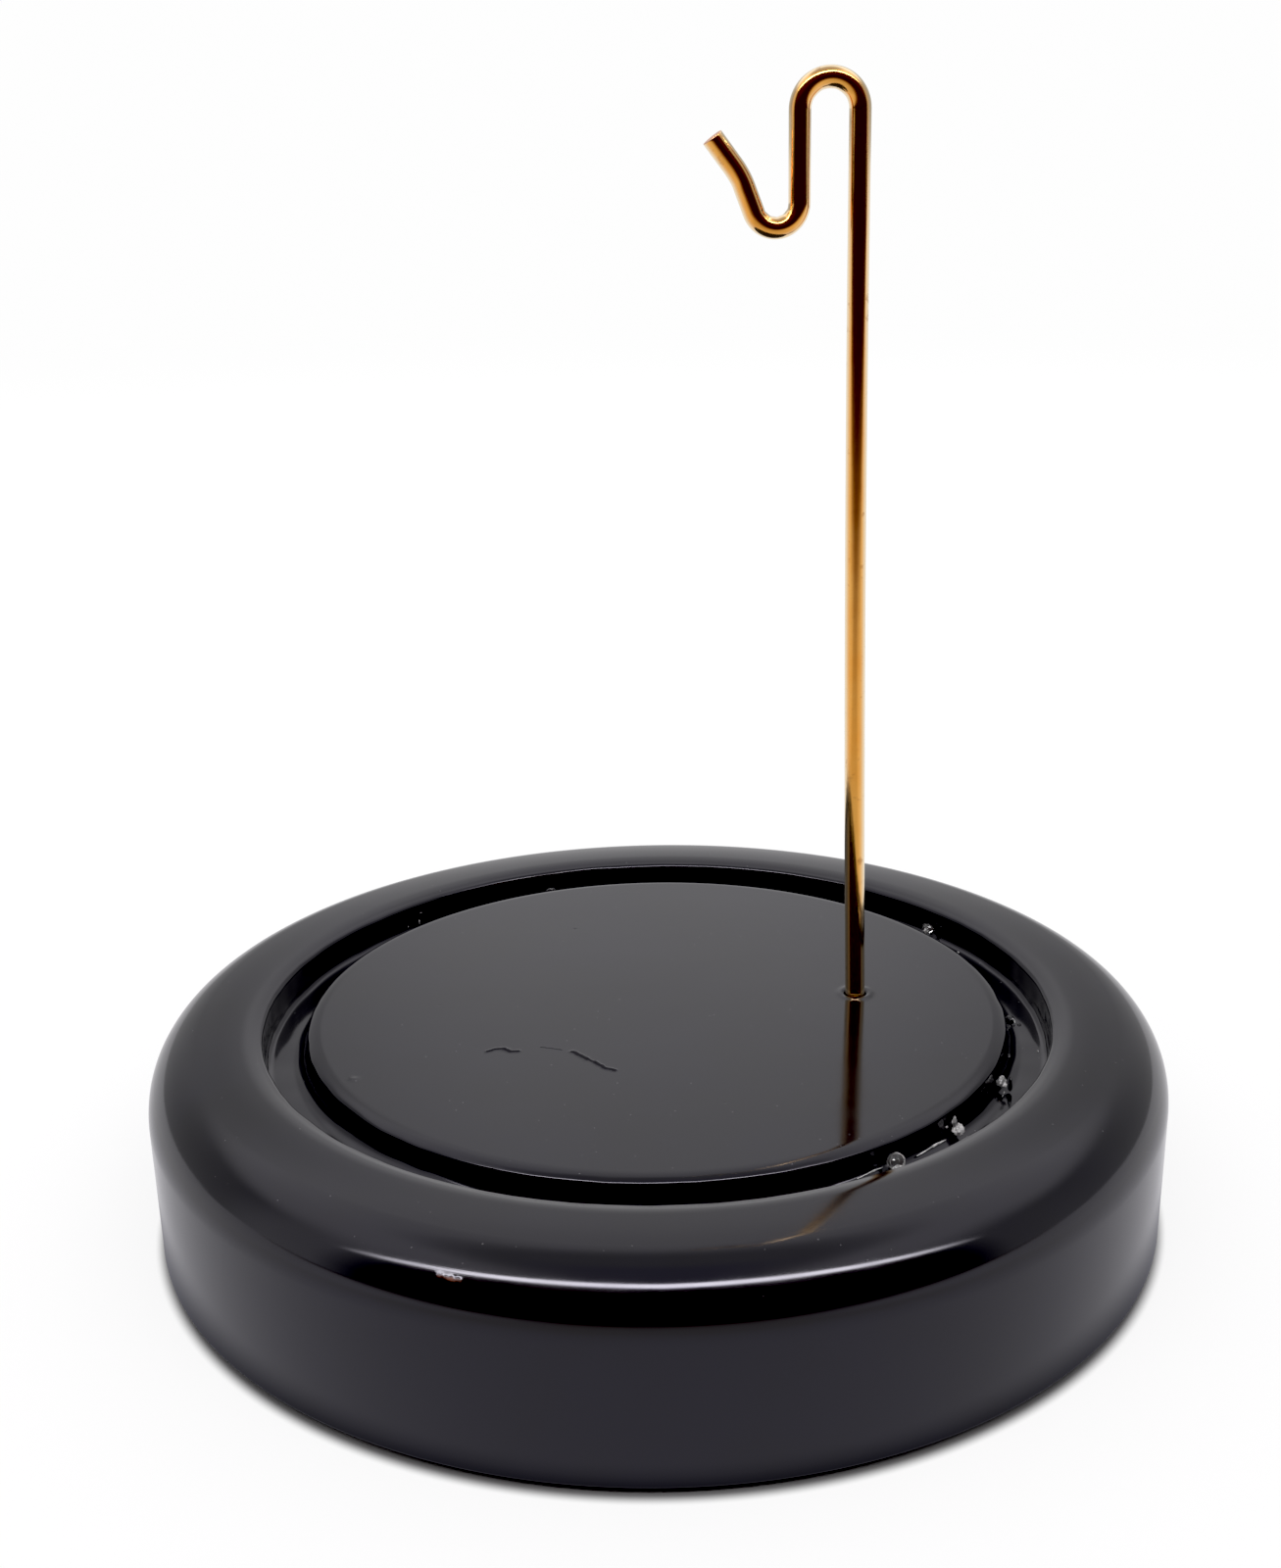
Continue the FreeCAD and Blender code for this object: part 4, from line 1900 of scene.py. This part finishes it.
@dataclass
class StudioCamera:
    """The camera: where it stands, the point it looks at, and its lens. Lengths in millimetres."""

    azimuth: float = 84.16
    distance: float = 183.96
    height: float = 105.4
    aim: tuple[float, float, float] = (-0.11, -1.15, 43.97)
    roll: float = -1.09
    lens: float = 45.34
    sensor: float = 36.0
    nearest: float = 5.0

    def build(self) -> bpy.types.Object:
        """Makes the camera and gives it to the scene.

        Returns:
            The camera.
        """
        data = bpy.data.cameras.new("camera")
        data.lens = self.lens
        data.sensor_width = self.sensor
        data.sensor_fit = "AUTO"
        data.clip_start = self.nearest * MM
        camera = bpy.data.objects.new("camera", data)
        bpy.context.scene.collection.objects.link(camera)
        ahead, _ = compass(self.azimuth)
        place = Vector(ahead) * self.distance
        place.z = self.height
        look = Vector(self.aim) - place
        upright = look.to_track_quat("-Z", "Y").to_matrix().to_4x4()
        tilt = Matrix.Rotation(math.radians(self.roll), 4, "Z")
        camera.matrix_world = Matrix.Translation(place * MM) @ upright @ tilt
        bpy.context.scene.camera = camera
        return camera


# ---------------------------------------------------------------------------------------------
# The stand's own marks and drops
# ---------------------------------------------------------------------------------------------

TABLE = TurnedBase.table_height
BLEMISHES = (
    Blemish(Mark.SCRATCH, ((8.4, -17.4, TABLE), (7.95, -16.6, TABLE), (8.0, -15.8, TABLE)), 0.2, 0.1, 0.8),
    Blemish(Mark.SCRATCH, ((8.1, -15.7, TABLE), (8.7, -15.2, TABLE), (8.75, -14.5, TABLE)), 0.24, 0.1, 0.9),
    Blemish(Mark.SCRATCH, ((8.1, -12.2, TABLE), (8.5, -11.2, TABLE), (9.0, -10.2, TABLE)), 0.07, 0.03, 0.5),
    Blemish(Mark.SCRATCH, ((9.6, -9.2, TABLE), (10.5, -8.5, TABLE), (11.4, -7.9, TABLE)), 0.24, 0.1, 0.9),
    Blemish(Mark.SCRATCH, ((11.4, -7.9, TABLE), (12.2, -7.2, TABLE)), 0.16, 0.08, 0.8),
    Blemish(Mark.SCRATCH, ((12.2, -7.2, TABLE), (13.5, -6.4, TABLE), (14.1, -5.5, TABLE)), 0.22, 0.1, 0.9),
    Blemish(Mark.DENT, ((12.5, -30.2, TABLE),), 0.4, 0.05, 0.8),
    Blemish(Mark.NIB, ((-21.2, -6.8, TABLE),), 0.14, -0.06, 0.5),
    Blemish(Mark.NIB, ((-3.0, -22.0, TABLE),), 0.1, -0.03, 0.4),
    Blemish(Mark.NIB, ((22.0, 4.0, TABLE),), 0.1, -0.03, 0.4),
    Blemish(Mark.CHIP, ((44.2, -22.4, 18.16), (44.7, -21.5, 18.1), (45.1, -20.7, 18.06)), 0.2, 0.05, 1.0),
)

DROPS = (
    Drop("glue_bead_a", Shape.BEAD, CLEAR_GLUE, 29.3, 36.1, 18.45, (1.5, 1.45, 1.45)),
    Drop("glue_crust_a", Shape.SHARD, MILKY_GLUE, 28.9, 36.75, 18.1, (0.7, 1.05, 0.7), 10.0),
    Drop("glue_ring_a", Shape.RING, GREY_GLUE, 29.4, 36.35, 18.5, (1.3, 1.25, 0.24), -29.4),
    Drop("glue_bead_b", Shape.BEAD, CLEAR_GLUE, 121.4, 38.9, 18.25, (1.15, 1.35, 1.15)),
    Drop("glue_crust_c", Shape.SHARD, GREY_GLUE, 121.0, 38.4, 18.15, (0.6, 0.7, 0.7), 25.0),
    Drop("glue_shard_a", Shape.SHARD, MILKY_GLUE, 43.6, 35.95, 18.15, (1.15, 1.45, 1.1), 20.0),
    Drop("glue_spike_a", Shape.SHARD, GREY_GLUE, 43.4, 35.6, 18.85, (0.5, 0.75, 1.1), 20.0),
    Drop("glue_shard_b", Shape.SHARD, GREY_GLUE, 60.2, 35.85, 18.4, (0.95, 1.15, 1.1), -15.0),
    Drop("glue_crumb_g", Shape.SHARD, MILKY_GLUE, 59.8, 36.2, 18.2, (0.45, 0.5, 0.5), -15.0),
    Drop("glue_crumb_a", Shape.SHARD, GREY_GLUE, -141.9, 39.3, 18.15, (0.22, 0.25, 0.62)),
    Drop("glue_crumb_b", Shape.SHARD, GREY_GLUE, -142.4, 39.4, 19.15, (0.08, 0.4, 0.09)),
    Drop("glue_crumb_c", Shape.SHARD, GREY_GLUE, -139.5, 39.3, 18.05, (0.1, 0.12, 0.2)),
    Drop("glue_crumb_d", Shape.SHARD, GREY_GLUE, 75.6, 38.4, 17.13, (0.16, 0.45, 0.12)),
    Drop("glue_crumb_e", Shape.SHARD, MILKY_GLUE, 41.9, 35.4, 18.6, (0.22, 0.22, 0.22)),
    Drop("glue_crumb_f", Shape.SHARD, GREY_GLUE, 113.0, 38.5, 17.4, (0.2, 0.3, 0.2)),
    Drop("glue_curl", Shape.THREAD, MILKY_GLUE, 85.6, 36.7, 17.35, (0.8, 0.3, 0.16), 60.0),
    Drop("glue_thread_a", Shape.THREAD, GREY_GLUE, 59.0, 36.3, 17.5, (1.1, 0.2, 0.12), 70.0),
    Drop("glue_thread_b", Shape.THREAD, MILKY_GLUE, 37.5, 35.75, 17.75, (4.2, 0.12, 0.17), 87.0),
    Drop("glue_thread_c", Shape.THREAD, MILKY_GLUE, 25.5, 35.6, 17.8, (3.2, 0.1, 0.13), 93.0),
    Drop("lacquer_drip_a", Shape.DRIP, BLACK_DRIP, 86.4, 36.45, 17.3, (0.9, 1.0, 0.7)),
    Drop("lacquer_drip_b", Shape.DRIP, BLACK_DRIP, 84.4, 36.5, 17.15, (0.3, 0.4, 0.3)),
    Drop("lacquer_drip_c", Shape.DRIP, BLACK_DRIP, 84.7, 37.2, 17.1, (0.4, 0.55, 0.3)),
    Drop("lacquer_drip_d", Shape.DRIP, BLACK_DRIP, 60.8, 36.6, 17.7, (0.45, 0.8, 2.2), 20.0),
    Drop("lacquer_drip_e", Shape.DRIP, BLACK_DRIP, 70.0, 35.6, 18.0, (0.5, 0.6, 0.6)),
    Drop("lacquer_drip_f", Shape.DRIP, BLACK_DRIP, -165.6, 35.15, 19.95, (0.4, 1.2, 0.5)),
    Drop("lacquer_drip_g", Shape.DRIP, BLACK_DRIP, 68.5, 39.3, 18.0, (0.3, 0.5, 0.9)),
)


def set_tone() -> None:
    """Plain tones, with the very darkest pressed down to black."""
    tone = bpy.context.scene.view_settings
    tone.view_transform = "Standard"
    tone.use_curve_mapping = True
    tone.curve_mapping.black_level = (BLACK_LEVEL, BLACK_LEVEL, BLACK_LEVEL)
    tone.curve_mapping.update()


def main() -> None:
    """Builds the studio and then every piece of the stand."""
    logging.basicConfig(level=logging.INFO, format="%(name)s: %(message)s")
    camera = StudioCamera()
    camera.build()
    LightBox(front=camera.azimuth).build()
    PaperFloor(front=camera.azimuth).build()
    set_tone()

    low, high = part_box(Node.TURNED_BASE.value)
    base = TurnedBase(
        radius=round((high.x - low.x) / 2.0 / MM, 1),
        underside=low.z / MM,
        rim_height=high.z / MM,
        blemishes=BLEMISHES,
    )
    base.build(BlackLacquer())
    HookWire(post_place=base.hole_place, table=base.table_height).build(PolishedBrass())
    felt_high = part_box(Node.FELT_PAD.value)[1]
    FeltPad(radius=round(felt_high.x / MM, 0), thickness=felt_high.z / MM).build(WoolFelt())
    GrooveResidue(DROPS).build()


if __name__ == "__main__":
    main()
